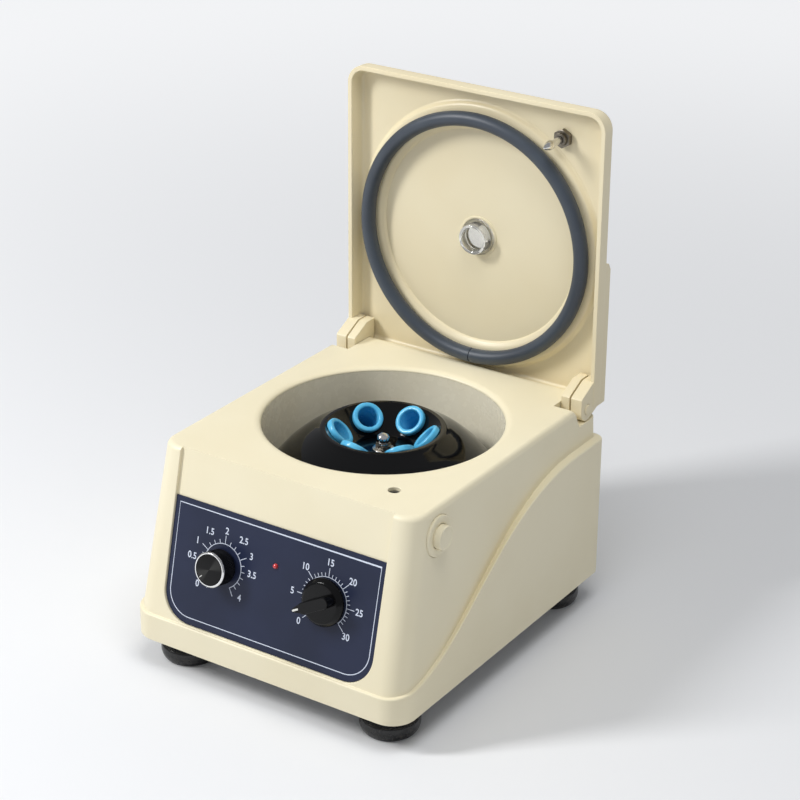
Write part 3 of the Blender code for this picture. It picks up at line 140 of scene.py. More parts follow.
class Finish:
    """A procedural material: one shader, fed by noise and masks that lie on the piece itself."""

    def __init__(self, name, roughness=0.4, metallic=0.0, **constants):
        self.material = bpy.data.materials.new(name)
        self.material.use_nodes = True
        self.tree = self.material.node_tree
        self.tree.nodes.clear()
        self.shader = self.tree.nodes.new("ShaderNodeBsdfPrincipled")
        self.output = self.tree.nodes.new("ShaderNodeOutputMaterial")
        self.tree.links.new(self.shader.outputs[0], self.output.inputs[0])
        self.set("Roughness", roughness)
        self.set("Metallic", metallic)
        for name, value in constants.items():
            self.set(name.replace("_", " ").title().replace("Ior", "IOR"), value)
        self.where = self.node("ShaderNodeTexCoord", output=3)
        self.cloud = None

    def node(self, kind, settings=None, sockets=None, output=0):
        return add_node(self.tree, kind, settings, sockets, output)

    def set(self, socket, value):
        feed(self.tree, self.shader.inputs[socket], value)

    def moved(self, location, rotation=(0, 0, 0)):
        """Coordinates centred on a place and turned, for a pattern on this piece."""
        sockets = {"Vector": self.where, "Location": location, "Rotation": rotation}
        return self.node("ShaderNodeMapping", {"vector_type": "TEXTURE"}, sockets)

    def noise(self, scale, detail=2.0, roughness=0.5, where=None):
        sockets = {
            "Vector": where or self.where, "Scale": scale, "Detail": detail, "Roughness": roughness,
        }
        return self.node("ShaderNodeTexNoise", {}, sockets)

    def axis(self, where, index):
        return self.node("ShaderNodeSeparateXYZ", {}, {0: where}, index)

    def reach(self, where):
        """How far each spot lies from the Z axis of these coordinates."""
        x, y = self.axis(where, 0), self.axis(where, 1)
        return (x * x + y * y) ** 0.5

    def rings(self, reach, scale, detail):
        """Noise that changes only with the distance from an axis."""
        sockets = {"W": reach, "Scale": scale, "Detail": detail}
        return self.node("ShaderNodeTexNoise", {"noise_dimensions": "1D"}, sockets)

    def mix(self, mask, plain, changed):
        """One colour, or another where the mask is 1."""
        return self.node("ShaderNodeMix", {"data_type": "RGBA"}, {0: mask, 6: plain, 7: changed}, 2)

    def relief(self, height, distance, strength=1.0):
        sockets = {"Height": height, "Distance": distance, "Strength": strength}
        if self.shader.inputs["Normal"].is_linked:
            before = self.shader.inputs["Normal"].links[0].from_socket
            sockets["Normal"] = Wire(self.tree, before)
        self.set("Normal", self.node("ShaderNodeBump", {}, sockets))


def coloured(red, green, blue):
    """A colour as it is seen on a screen, from 0 to 255, in the shader's own linear numbers."""
    shares = []
    for level in (red, green, blue):
        share = level / 255
        shares.append(share / 12.92 if share <= 0.04045 else ((share + 0.055) / 1.055) ** 2.4)
    return (*shares, 1.0)


def clouded(name, pattern, span, light, dark, roughness, drift, **constants):
    """A finish whose colour and roughness drift with one cloud of noise, which it keeps."""
    finish = Finish(name, **constants)
    finish.cloud = finish.noise(*pattern)
    finish.set("Base Color", finish.mix(finish.cloud.ramp(*span), coloured(*light), coloured(*dark)))
    finish.set("Roughness", roughness + finish.cloud * drift)
    return finish


def new_piece(name, mesh):
    obj = bpy.data.objects.new(name, mesh)
    bpy.context.scene.collection.objects.link(obj)
    return obj


def tidy_mesh(mesh, angle=32, weld=0.0000005):
    """Welds the seams, turns the faces outward and shades the round sides smooth."""
    bm = bmesh.new()
    bm.from_mesh(mesh)
    bmesh.ops.remove_doubles(bm, verts=bm.verts, dist=weld)
    bmesh.ops.recalc_face_normals(bm, faces=bm.faces)
    bm.to_mesh(mesh)
    bm.free()
    mesh.shade_smooth()
    mesh.set_sharp_from_angle(angle=math.radians(angle))
    return mesh


def settled(name, bm):
    """A shape under work made into a piece, welded and shaded."""
    mesh = bpy.data.meshes.new(name)
    bm.to_mesh(mesh)
    bm.free()
    return new_piece(name, tidy_mesh(mesh))


def softened(piece, chosen, size):
    """Rounds over the edges that a test picks out."""
    bm = bmesh.new()
    bm.from_mesh(piece.data)
    rims = [edge for edge in bm.edges if chosen(edge)]
    bmesh.ops.bevel(bm, geom=rims, offset=size, segments=3, profile=0.5, affect="EDGES")
    bm.to_mesh(piece.data)
    bm.free()
    return piece


def as_mesh(obj):
    """The piece with its modifiers worked out, as one plain mesh."""
    bpy.context.view_layer.update()
    graph = bpy.context.evaluated_depsgraph_get()
    mesh = bpy.data.meshes.new_from_object(obj.evaluated_get(graph), depsgraph=graph)
    if obj.type == "MESH":
        obj.modifiers.clear()
        obj.data = mesh
        return obj
    name = obj.name
    bpy.data.objects.remove(obj, do_unlink=True)
    return new_piece(name, mesh)


def spun(name, profile, steps=96, closed=False, angle=32):
    """A turned solid from (radius, height) points, closed at its axis, or a ring whose profile is closed."""
    mesh = bpy.data.meshes.new(name)
    count = len(profile)
    points = []
    for i in range(steps):
        turn = 2 * math.pi * i / steps
        points += [(r * math.cos(turn), r * math.sin(turn), z) for r, z in profile]
    faces = []
    for i in range(steps):
        near = i * count
        far = (i + 1) % steps * count
        for j in range(count if closed else count - 1):
            k = (j + 1) % count
            faces.append((near + j, near + k, far + k, far + j))
    mesh.from_pydata(points, [], faces)
    mesh.validate()
    return new_piece(name, tidy_mesh(mesh, angle))


def round_corners(profile, sizes, steps=5):
    """A line of (radius, height) points with some corners rounded: {index: size}."""
    points = []
    for i, point in enumerate(profile):
        if i not in sizes:
            points.append(point)
            continue
        corner = Vector(point)
        before = Vector(profile[i - 1]) - corner
        after = Vector(profile[(i + 1) % len(profile)]) - corner
        size = min(sizes[i], before.length * 0.49, after.length * 0.49)
        start = corner + before.normalized() * size
        end = corner + after.normalized() * size
        for k in range(steps + 1):
            t = k / steps
            point = start * (1 - t) ** 2 + corner * 2 * t * (1 - t) + end * t**2
            points.append((point.x, point.y))
    return points


def grown_tree(name, inputs):
    """A Geometry Nodes tree with named inputs, and the wires of its group input."""
    tree = bpy.data.node_groups.new(name, "GeometryNodeTree")
    tree.interface.new_socket("Geometry", in_out="INPUT", socket_type="NodeSocketGeometry")
    for label, kind in inputs.items():
        tree.interface.new_socket(label, in_out="INPUT", socket_type="NodeSocket" + kind)
    tree.interface.new_socket("Geometry", in_out="OUTPUT", socket_type="NodeSocketGeometry")
    start = tree.nodes.new("NodeGroupInput")
    return tree, {socket.name: Wire(tree, socket) for socket in start.outputs if socket.name}


def end_tree(tree, geometry):
    """Realises the copies, gives them the finish and ends the tree."""
    wires = {s.name: s for s in tree.nodes["Group Input"].outputs}
    real = add_node(tree, "GeometryNodeRealizeInstances", {}, {"Geometry": geometry})
    sockets = {"Geometry": real, "Material": Wire(tree, wires["Finish"])}
    done = add_node(tree, "GeometryNodeSetMaterial", {}, sockets)
    feed(tree, tree.nodes.new("NodeGroupOutput").inputs[0], done)
    return tree


def vector(tree, x, y, z):
    return add_node(tree, "ShaderNodeCombineXYZ", {}, {0: x, 1: y, 2: z})


def end_copies(tree, wires, spot, turn, size=(1.0, 1.0, 1.0)):
    """Sets a copy of the piece on each of Count points, and ends the tree."""
    points = add_node(tree, "GeometryNodePoints", {}, {"Count": wires["Count"], "Position": spot})
    sockets = {"Points": points, "Instance": wires["Geometry"], "Rotation": turn, "Scale": size}
    return end_tree(tree, add_node(tree, "GeometryNodeInstanceOnPoints", {}, sockets))


def end_sweep(tree, path, radius, sides):
    """Runs a round wire along a path, closes its ends, and ends the tree."""
    circle = add_node(
        tree, "GeometryNodeCurvePrimitiveCircle", {}, {"Resolution": sides, "Radius": radius},
    )
    sockets = {"Curve": path, "Profile Curve": circle, "Fill Caps": True}
    return end_tree(tree, add_node(tree, "GeometryNodeCurveToMesh", {}, sockets))


def grow(obj, tree, values):
    """Runs a tree on a piece with these values for its named inputs, and keeps the mesh it makes."""
    change = obj.modifiers.new(tree.name, "NODES")
    change.node_group = tree
    for item in tree.interface.items_tree:
        if item.in_out == "INPUT" and item.name in values:
            change[item.identifier] = values[item.name]
    return as_mesh(obj)


def dressed(piece, finish, slot, body, *nodes):
    """Gives a piece its finish and its body, and hides the CAD nodes that it stands for."""
    piece.data.materials.clear()
    piece.data.materials.append(finish.material)
    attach(piece, body)
    if nodes:
        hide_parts(*nodes)
    return piece


rubber = Finish("polished_black_rubber", roughness=0.22, specular_ior_level=0.5)
rubber_height = rubber.axis(rubber.where, 2)
rubber_dust = rubber.noise(240, 4, 0.65).ramp(0.52, 0.75) * (1 - rubber_height.ramp(0.002, 0.02))
rubber.set("Base Color", rubber.mix(rubber_dust * 0.35, coloured(22, 22, 23), coloured(88, 84, 78)))
rubber.set("Roughness", 0.2 + rubber.noise(90, 3) * 0.12 + rubber_dust * 0.3)
rubber.relief(rubber.noise(900, 3), 0.00004, 0.35)

foot_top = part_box("foot_front_left")[1].z
foot_profile = [
    (0.0028, foot_top), (0.0160, foot_top), (0.0160, 0.0198), (0.0185, 0.0162), (0.0246, 0.0125),
    (0.0246, 0.0062), (0.0232, 0.0024), (0.0215, 0.0), (0.0062, 0.0), (0.0062, 0.0100),
    (0.0028, 0.0100),
]
foot_profile = round_corners(
    foot_profile, {1: 0.0006, 2: 0.002, 3: 0.002, 4: 0.0016, 5: 0.0016, 6: 0.001, 7: 0.001, 8: 0.0005},
)
foot_spots = [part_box(name) for name in ("foot_front_left", "foot_rear_right")]
foot_centres = [(low + high) / 2 for low, high in foot_spots]
foot_middle = (foot_centres[0] + foot_centres[1]) / 2
foot_span = foot_centres[1] - foot_centres[0]

four_corners, wires = grown_tree(
    "four_corners", {"Across": "Float", "Depth": "Float", "Middle": "Vector", "Finish": "Material"}
)
corner_grid = add_node(
    four_corners,
    "GeometryNodeMeshGrid",
    {},
    {"Size X": wires["Across"], "Size Y": wires["Depth"], "Vertices X": 2, "Vertices Y": 2},
)
corner_points = add_node(
    four_corners, "GeometryNodeTransform", {}, {"Geometry": corner_grid, "Translation": wires["Middle"]},
)
corner_copies = add_node(
    four_corners, "GeometryNodeInstanceOnPoints", {}, {
        "Points": corner_points, "Instance": wires["Geometry"],
    }
)
end_tree(four_corners, corner_copies)

corner_values = {
    "Across": foot_span.x,
    "Depth": foot_span.y,
    "Middle": (foot_middle.x, foot_middle.y, 0.0),
}
feet = spun("rubber_feet", foot_profile, 72, closed=True)
grow(feet, four_corners, {**corner_values, "Finish": rubber.material})
foot_names = [end + side for end in ("front_", "rear_") for side in ("left", "right")]
dressed(feet, rubber, "black_rubber", "housing", *["foot_" + name for name in foot_names])

# Foot screws
# Zinc-plated machine screws, one up through each foot and the base plate into the housing.
# The pan head sits in the foot's well, with a cross driven into it.


def carve(target, tool, operation="DIFFERENCE"):
    """Cuts a tool out of a piece, or joins it on, and uses the tool up."""
    change = target.modifiers.new("carve", "BOOLEAN")
    change.operation = operation
    change.solver = "EXACT"
    change.object = tool
    as_mesh(target)
    mesh = tool.data
    bpy.data.objects.remove(tool, do_unlink=True)
    bpy.data.meshes.remove(mesh)
    return target


def block(name, low, high, edge=0.0, segments=2):
    """A box between two corners with its edges rounded over."""
    bm = bmesh.new()
    bmesh.ops.create_cube(bm, size=1.0)
    size = Vector(high) - Vector(low)
    bmesh.ops.scale(bm, vec=size, verts=bm.verts)
    bmesh.ops.translate(bm, vec=(Vector(low) + Vector(high)) / 2, verts=bm.verts)
    if edge:
        bmesh.ops.bevel(bm, geom=bm.edges[:], offset=edge, segments=segments, profile=0.5, affect="EDGES")
    return settled(name, bm)


zinc = clouded(
    "zinc_plating", (70, 4, 0.6), (0.35, 0.7), (196, 196, 198), (168, 170, 176), 0.28, 0.2, metallic=1.0
)
zinc.relief(zinc.noise(2600, 3), 0.00002, 0.4)

screw_low, screw_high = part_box("foot_screw_front_left")
screw_top = screw_high.z
screw_profile = [
    (0.0, screw_top), (0.0021, screw_top), (0.0025, screw_top - 0.0005),
    (0.0025, screw_low.z + 0.003), (0.0050, screw_low.z + 0.003), (0.0050, screw_low.z + 0.0012),
    (0.0042, screw_low.z + 0.0003), (0.0, screw_low.z),
]
foot_screws = spun("foot_screws", round_corners(screw_profile, {5: 0.0006, 6: 0.0012}), 36)
slot_floor = screw_low.z + 0.0016
for wide, deep in ((0.0030, 0.0006), (0.0006, 0.0030)):
    slot_low = (-wide, -deep, screw_low.z - 0.001)
    carve(foot_screws, block("cross_slot", slot_low, (wide, deep, slot_floor)))
tidy_mesh(foot_screws.data)
grow(foot_screws, four_corners, {**corner_values, "Finish": zinc.material})
dressed(foot_screws, zinc, "zinc_steel", "housing", *["foot_screw_" + name for name in foot_names])

# Base plate
# A pressed steel plate, zinc plated, that closes the housing from below.
# It carries the feet, the motor's dampers and four posts for the circuit board.


def smoothed_copy(node, angle=32, edge=0.0):
    """A CAD piece made into one welded mesh, with its sharp edges broken, ready for a finish of its own."""
    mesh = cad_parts[node].data.copy()
    mesh.materials.clear()
    piece = new_piece(node + "_dressed", tidy_mesh(mesh, angle, 0.000002))
    bm = bmesh.new()
    bm.from_mesh(piece.data)
    bmesh.ops.dissolve_limit(bm, angle_limit=math.radians(1), verts=bm.verts, edges=bm.edges)
    if edge:
        sharp = [
            e for e in bm.edges if len(e.link_faces) == 2 and e.calc_face_angle() > math.radians(angle)
        ]
        bmesh.ops.bevel(
            bm, geom=sharp, offset=edge, segments=2, profile=0.5, affect="EDGES", clamp_overlap=True,
        )
    bm.to_mesh(piece.data)
    bm.free()
    return piece


base_plate = smoothed_copy("base_plate")
base_plate.name = "pressed_base_plate"
tidy_mesh(base_plate.data)
dressed(base_plate, zinc, "zinc_steel", "housing", "base_plate")

# Moulded housing
# One injection moulding in cream ABS: a box that leans back in front, with a skirt that sweeps up its sides.
# Its mould gives it a fine satin grain, soft edges and a rolled lip round the chamber's mouth.

housing_low, housing_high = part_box("body_shell")
front_y, back_y = housing_low.y, housing_high.y
bottom_z, top_z = housing_low.z, housing_high.z
skirt_half = housing_high.x
waist_half, top_half = 0.1293, 0.1238
waist_z = top_z - 0.141
waist_front, top_front = front_y + 0.002, front_y + 0.0356
top_back = back_y - 0.0023
slope = math.atan2(top_front - waist_front, top_z - waist_z)
gap = 0.0003
hinge_y, hinge_z = front_y + 0.292, top_z - 0.006
tab_middle = 0.1127
rotor_axis_y = front_y + 0.1725
latch_x, latch_y = 0.0795, front_y + 0.070
button_y, button_z = front_y + 0.063, top_z - 0.023
panel_place = Matrix.Translation((0, top_front, top_z)) @ Matrix.Rotation(math.pi / 2 - slope, 4, "X")


def plan(half, front, back, front_radius, back_radius, corner=10, side=44, end=8):
    """A rounded rectangle seen from above, with the same count of points whatever its size."""
    quarter = math.pi / 2
    corners = (
        (half - front_radius, front + front_radius, front_radius, -quarter, side),
        (half - back_radius, back - back_radius, back_radius, 0.0, end),
        (back_radius - half, back - back_radius, back_radius, quarter, side),
        (front_radius - half, front + front_radius, front_radius, 2 * quarter, end),
    )
    points = []
    starts = []
    for x, y, radius, start, straight in corners:
        starts.append(len(points))
        for i in range(corner + 1):
            angle = start + quarter * i / corner
            points.append(Vector((x + radius * math.cos(angle), y + radius * math.sin(angle))))
        points += [None] * (straight - 1)
    for i, point in enumerate(points):
        if point is None:
            first = i - 1
            last = i
            while points[last % len(points)] is None:
                last += 1
            start, stop = points[first], points[last % len(points)]
            for k in range(i, last):
                points[k] = start.lerp(stop, (k - first) / (last - first))
    return points


def leaning_plan(z, inset=0.0):
    """The upper box's outline at a height: it narrows and leans back above its waist."""
    rise = min(max((z - waist_z) / (top_z - waist_z), 0.0), 1.0)
    half = waist_half + (top_half - waist_half) * rise - inset
    front = waist_front + (top_front - waist_front) * rise + inset
    back = back_y - gap + (top_back - back_y + gap) * rise - inset
    return plan(half, front, back, 0.018 - inset, 0.008 - inset)


def skirt_height(y):
    """How high the skirt's top edge stands at this depth, along its long S."""
    points = [Vector((front_y - 0.02, bottom_z + 0.0215)), Vector((front_y + 0.012, bottom_z + 0.0255))]
    handles = [points[1], Vector((front_y + 0.092, points[1].y))]
    handles += [Vector((front_y + 0.137, bottom_z + 0.128)), Vector((front_y + 0.262, bottom_z + 0.128))]
    if y <= points[1].x:
        share = (y - points[0].x) / (points[1].x - points[0].x)
        return points[0].y + (points[1].y - points[0].y) * share
    low, high = 0.0, 1.0
    for unused in range(40):
        t = (low + high) / 2
        place = handles[0] * (1 - t) ** 3 + handles[1] * 3 * t * (1 - t) ** 2
        place += handles[2] * 3 * t**2 * (1 - t) + handles[3] * t**3
        low, high = (t, high) if place.x < y else (low, t)
    return place.y


def skinned(name, rows, caps=True):
    """A closed skin through rows of points that lie one above the other."""
    bm = bmesh.new()
    rings = [[bm.verts.new(point) for point in row] for row in rows]
    count = len(rings[0])
    for lower, upper in zip(rings, rings[1:]):
        for i in range(count):
            j = (i + 1) % count
            bm.faces.new((lower[i], lower[j], upper[j], upper[i]))
    if caps:
        bm.faces.new(list(reversed(rings[0])))
        bm.faces.new(rings[-1])
    return settled(name, bm)


skirt_plan = plan(skirt_half, front_y, back_y, 0.021, 0.008)
skirt_crest = [skirt_height(point.y) for point in skirt_plan]
skirt_edge = 0.0016


def on_body(i, z):
    """The upper box's surface at one point of its outline and one height."""
    rise = min(max((z - waist_z) / (top_z - waist_z), 0.0), 1.0)
    low, high = waist_points[i], top_points[i]
    point = low.lerp(high, rise)
    return Vector((point.x, point.y, z))


waist_points = leaning_plan(waist_z)
top_points = leaning_plan(top_z)
body_rows = []
for drop, inset in ((0.0, 0.0010), (0.0003, 0.0004), (0.0010, 0.0)):
    inner = plan(skirt_half - inset, front_y + inset, back_y - inset, 0.021 - inset, 0.008 - inset)
    body_rows.append([(p.x, p.y, bottom_z + drop) for p in inner])
ledges = []
for i, outer in enumerate(skirt_plan):
    ledges.append((on_body(i, skirt_crest[i]).to_2d() - outer).length)
for share in (0.25, 0.5, 0.75, 1.0):
    row = []
    for i, outer in enumerate(skirt_plan):
        radius = min(skirt_edge, ledges[i] * 0.6)
        low = bottom_z + 0.001
        row.append((outer.x, outer.y, low + (skirt_crest[i] - radius - low) * share))
    body_rows.append(row)
for step in (1, 2, 3, 4, 5):
    angle = math.pi / 2 * step / 5
    row = []
    for i, outer in enumerate(skirt_plan):
        radius = min(skirt_edge, ledges[i] * 0.6)
        inward = (on_body(i, skirt_crest[i]).to_2d() - outer).normalized()
        point = outer + inward * radius * (1 - math.cos(angle))
        row.append((point.x, point.y, skirt_crest[i] - radius + radius * math.sin(angle)))
    body_rows.append(row)
for step in (0, 1, 2, 3):
    angle = math.pi / 2 * step / 3
    row = []
    for i, outer in enumerate(skirt_plan):
        radius = min(0.0009, ledges[i] * 0.25)
        wall_point = on_body(i, skirt_crest[i] + radius * (1 - math.cos(angle)))
        inward = (wall_point.to_2d() - outer).normalized()
        point = wall_point.to_2d() - inward * radius * (1 - math.sin(angle))
        row.append((point.x, point.y, wall_point.z))
    body_rows.append(row)
rim_z = top_z - 0.005
for share in [(k + 1) / 9 for k in range(9)]:
    row = []
    for i in range(len(skirt_plan)):
        start = skirt_crest[i] + 0.0009
        row.append(on_body(i, start + (rim_z - start) * share))
    body_rows.append(row)
for step in range(1, 9):
    angle = math.pi / 2 * step / 8
    flat = leaning_plan(rim_z, 0.005 * (1 - math.cos(angle)))
    body_rows.append([(p.x, p.y, rim_z + 0.005 * math.sin(angle)) for p in flat])
housing = skinned("moulded_housing", body_rows)

inside_rows = []
for z, wall in ((bottom_z - 0.005, 0.003), (waist_z, 0.003), (top_z - 0.003, 0.003)):
    flat = leaning_plan(z, wall)
    deeper = 0.0057 - wall
    row = []
    for point in flat:
        near_front = max(0.0, 1 - (point.y - flat[0].y) / 0.03) if point.y - flat[0].y < 0.03 else 0.0
        row.append((point.x, point.y + deeper * min(1.0, near_front), z))
    inside_rows.append(row)
inside = skinned("hollow", inside_rows)
pocket_x = 0.104 - 2 * gap
notch_drop = 0.010 + 2 * gap
toe = 0.0126 + 5 * gap
notch_slope = (0.021 - toe) / (0.006 + notch_drop)
notch_line = [
    (hinge_y - 0.021 - notch_slope * 0.005, top_z + 0.005), (hinge_y - toe, hinge_z - notch_drop),
    (back_y + 0.005, hinge_z - notch_drop), (back_y + 0.005, top_z + 0.005),
]


def slab(name, outline, low, high, place=Matrix.Identity(4), lip=0.0):
    """A flat outline given a thickness. A lip flares its upper rim."""
    count = len(outline)
    lines = [(Vector(outline[i]) - Vector(outline[i - 1])).normalized() for i in range(count)]
    area = sum(
        outline[i - 1][0] * outline[i][1] - outline[i][0] * outline[i - 1][1] for i in range(count)
    )
    turn = 1 if area > 0 else -1
    outward = []
    for i in range(count):
        first, second = lines[i], lines[(i + 1) % count]
        one = Vector((first.y, -first.x)) * turn
        two = Vector((second.y, -second.x)) * turn
        middle = (one + two).normalized()
        outward.append(middle / max(0.3, middle.dot(one)))
    levels = [(low, 0.0)]
    if lip:
        for k in range(6):
            angle = math.pi / 2 * k / 5
            levels.append((lip * (math.sin(angle) - 1), lip * (1 - math.cos(angle))))
        levels.append((high, lip + 0.0004))
    else:
        levels.append((high, 0.0))
    rows = []
    for z, grow_by in levels:
        row = [
            place @ Vector((x + n.x * grow_by, y + n.y * grow_by, z)) for (x, y),
            n in zip(outline, outward)
        ]
        rows.append(row if turn > 0 else list(reversed(row)))
    return skinned(name, rows)


def bow(centre, radius, start, end, steps):
    """Points round part of a circle, both ends included."""
    angles = [start + (end - start) * i / steps for i in range(steps + 1)]
    return [(centre[0] + radius * math.cos(a), centre[1] + radius * math.sin(a)) for a in angles]


def disc(radius, steps=64, centre=(0.0, 0.0)):
    return bow(centre, radius, 0.0, 2 * math.pi * (steps - 1) / steps, steps - 1)


crosswise = Matrix(((0, 0, 1, 0), (1, 0, 0, 0), (0, 1, 0, 0), (0, 0, 0, 1)))
button_place = Matrix.Translation((0, button_y, button_z)) @ crosswise
for side in (-1, 1):
    inner, outer = sorted((side * (pocket_x - 0.003), side * skirt_half))
    corner_low = (inner, hinge_y - toe - 0.009, hinge_z - notch_drop - 0.003)
    carve(inside, block("hinge_pocket", corner_low, (outer, back_y + 0.005, top_z + 0.005)))
pad = slab("button_pad", disc(0.0168 + 0.003), 0.1230 - 0.003, skirt_half, button_place)
carve(inside, pad)
carve(housing, inside)
for side in (-1, 1):
    inner, outer = sorted((side * pocket_x, side * (skirt_half + 0.005)))
    carve(housing, slab("hinge_notch", notch_line, inner, outer, crosswise))
    slit_low = (side * tab_middle - 0.0009, hinge_y - 0.0073, hinge_z - 0.031)
    slit_high = (side * tab_middle + 0.0009, hinge_y + 0.0073, hinge_z)
    carve(housing, block("hinge_tab_slit", slit_low, slit_high))

bowl_place = Matrix.Translation((0, rotor_axis_y, top_z))
mouth_profile = [(0.0, 0.005), (0.1075, 0.005), (0.1075, 0.00015), (0.1062, 0.0)]
for k in range(1, 9):
    angle = math.pi / 16 * k
    mouth_profile.append((0.1062 - 0.0062 * math.sin(angle), -0.0028 * (1 - math.cos(angle))))
mouth_profile += [(0.1, -0.008), (0.0, -0.008)]
mouth = spun("chamber_mouth", mouth_profile, 160)
mouth.data.transform(bowl_place)
carve(housing, mouth)
latch_place = Matrix.Translation((latch_x, latch_y, top_z))
carve(housing, slab("latch_hole", disc(0.005, 48), -0.008, 0.004, latch_place, lip=0.0005))

panel_half, panel_head, panel_foot, panel_round = 0.1013, 0.0388, 0.1420, 0.026


def panel_line(half, head, foot, radius, steps=14):
    """The panel's outline, square at its head and round at its foot, across and up the slope."""
    line = [(half, -head), (-half, -head)]
    line += bow((radius - half, radius - foot), radius, math.pi, 1.5 * math.pi, steps)
    line += bow((half - radius, radius - foot), radius, 1.5 * math.pi, 2 * math.pi, steps)
    return line


recess_line = panel_line(panel_half + gap, -0.006, panel_foot + gap, panel_round)
recess_line = [(x, min(y, 0.006)) for x, y in recess_line]
carve(housing, slab("panel_recess", recess_line, -0.0028, 0.006, panel_place, lip=0.0007))
speed_spot, timer_spot, lamp_spot = (-0.0489, 0.0845), (0.0511, 0.0845), (0.0012, 0.0702)
panel_holes = ((speed_spot, 0.0048), (timer_spot, 0.0048), (lamp_spot, 0.0023))
for (across, down), radius in panel_holes:
    hole_place = panel_place @ Matrix.Translation((across, -down, 0))
    carve(housing, slab("control_hole", disc(radius, 32), -0.012, 0.005, hole_place))
collar_place = button_place @ Matrix.Translation((0, 0, 0.1230))
carve(housing, slab("collar_seat", disc(0.0171), 0.0, 0.006, collar_place))
carve(housing, slab("button_bore", disc(0.0101), -0.010, 0.005, collar_place))
inlet_x, fuse_x, inlet_z = -0.080, -0.045, bottom_z + 0.035
inlet_hole_low = (inlet_x - 0.0141, back_y - 0.013, inlet_z - 0.0103)
carve(housing, block("inlet_hole", inlet_hole_low, (inlet_x + 0.0141, back_y + 0.005, inlet_z + 0.0103)))
fuse_place = Matrix.Translation((fuse_x, back_y, inlet_z)) @ Matrix.Rotation(-math.pi / 2, 4, "X")
carve(housing, slab("fuse_hole", disc(0.0063, 32), -0.015, 0.005, fuse_place))


def evened(piece, angle=30):
    """Shades flat faces flat up to their rounded edges, by giving large faces more weight."""
    tidy_mesh(piece.data, angle)
    piece.modifiers.new("evened", "WEIGHTED_NORMAL").keep_sharp = True
    return as_mesh(piece)


def as_built(node, finish, slot, body, edge=0.0003):
    """A CAD piece in its own shape, with its edges broken and a finish on it."""
    return dressed(evened(smoothed_copy(node, edge=edge)), finish, slot, body, node)


evened(housing)
cream = Finish("moulded_cream", roughness=0.36, specular_ior_level=0.5)
cream_cloud = cream.noise(9, 3, 0.5)
cream_mottle = cream.noise(160, 4, 0.6)
cream_tone = cream.mix(cream_cloud.ramp(0.3, 0.7), coloured(239, 230, 201), coloured(235, 225, 194))
cream_dust = cream.noise(420, 5, 0.7).ramp(0.6, 0.8) * 0.12
cream.set("Base Color", cream.mix(cream_dust, cream_tone, coloured(214, 203, 172)))
cream.set("Roughness", 0.33 + cream_mottle * 0.1 + cream_cloud * 0.05)
cream.relief(cream.noise(2200, 3, 0.6), 0.00003, 0.55)
dressed(housing, cream, "cream_plastic", "housing", "body_shell")

# Chamber bowl
# A deep cup moulded in the same cream plastic, which hangs by its flange under the housing's top.
# Its wall is smooth and glossier than the housing, and its floor meets the wall in a round corner.

bowl_under = -0.0033
bowl_profile = [
    (0.1, bowl_under), (0.108, bowl_under), (0.108, bowl_under - 0.0025),
    (0.1025, bowl_under - 0.0025), (0.1025, -0.0835), (0.0955, -0.0905), (0.012, -0.0905),
    (0.012, -0.088), (0.093, -0.088), (0.1, -0.081),
]
bowl_profile = round_corners(bowl_profile, {4: 0.003, 5: 0.003, 8: 0.0034, 9: 0.0034}, 6)
bowl = spun("chamber_bowl_moulding", bowl_profile, 144, closed=True)
bowl.data.transform(bowl_place)
bowl_cream = Finish("glossy_cream", roughness=0.24, specular_ior_level=0.5)
bowl_cloud = bowl_cream.noise(14, 3, 0.5)
bowl_tone = bowl_cream.mix(bowl_cloud.ramp(0.3, 0.7), coloured(246, 240, 218), coloured(241, 233, 208))
bowl_cream.set("Base Color", bowl_tone)
bowl_cream.set("Roughness", 0.22 + bowl_cream.noise(130, 3) * 0.1)
bowl_cream.relief(bowl_cream.noise(260, 2), 0.00002, 0.12)
dressed(bowl, bowl_cream, "cream_plastic", "housing", "chamber_bowl")

# Motor, its plate and dampers, and the shaft seal
# A steel-cased motor stands on a zinc-plated plate, which floats on three rubber dampers.
# A moulded rubber seal in the bowl's floor keeps spills off the motor.

blackened = clouded(
    "blackened_steel", (60, 4, 0.6), (0.35, 0.65), (146, 139, 127), (120, 114, 104), 0.34, 0.2, metallic=1.0
)
blackened.relief(blackened.noise(1800, 3), 0.00003, 0.4)
for node, finish, slot in (
    ("motor", blackened, "dark_steel"),
    ("motor_plate", zinc, "zinc_steel"),
    ("shaft_seal", rubber, "black_rubber"),
    ("damper_1", rubber, "black_rubber"),
    ("damper_2", rubber, "black_rubber"),
    ("damper_3", rubber, "black_rubber"),
):
    as_built(node, finish, slot, "housing", 0.0004)

# Circuit board
# A green glass-fibre board with a transformer and two capacitors soldered to it.
# It stands on four posts of the base plate.

laminate = Finish("board_laminate", roughness=0.45)
board_level = laminate.axis(laminate.where, 2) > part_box("circuit_board")[0].z + 0.0022
no_copper, copper = (0, 0, 0, 1), (1, 1, 1, 1)
brick_sockets = {"Vector": laminate.where, "Scale": 160.0, "Mortar Size": 0.03}
brick_sockets.update({"Color1": no_copper, "Color2": no_copper, "Mortar": copper})
copper_ways = laminate.node("ShaderNodeTexBrick", {"offset": 0.3}, brick_sockets)
board_green = laminate.mix(copper_ways * 0.6, coloured(34, 104, 62), coloured(92, 158, 104))
laminate.set("Base Color", laminate.mix(board_level, board_green, coloured(64, 62, 60)))
laminate.set("Roughness", 0.35 + laminate.noise(300, 3) * 0.2)
laminate.relief(copper_ways, 0.00005, 0.5)
as_built("circuit_board", laminate, "board_laminate", "housing")

# Mains inlet and fuse holder
# A moulded black socket with three flat pins is pressed into the back of the housing.
# Beside it sits a fuse holder with a screw cap.

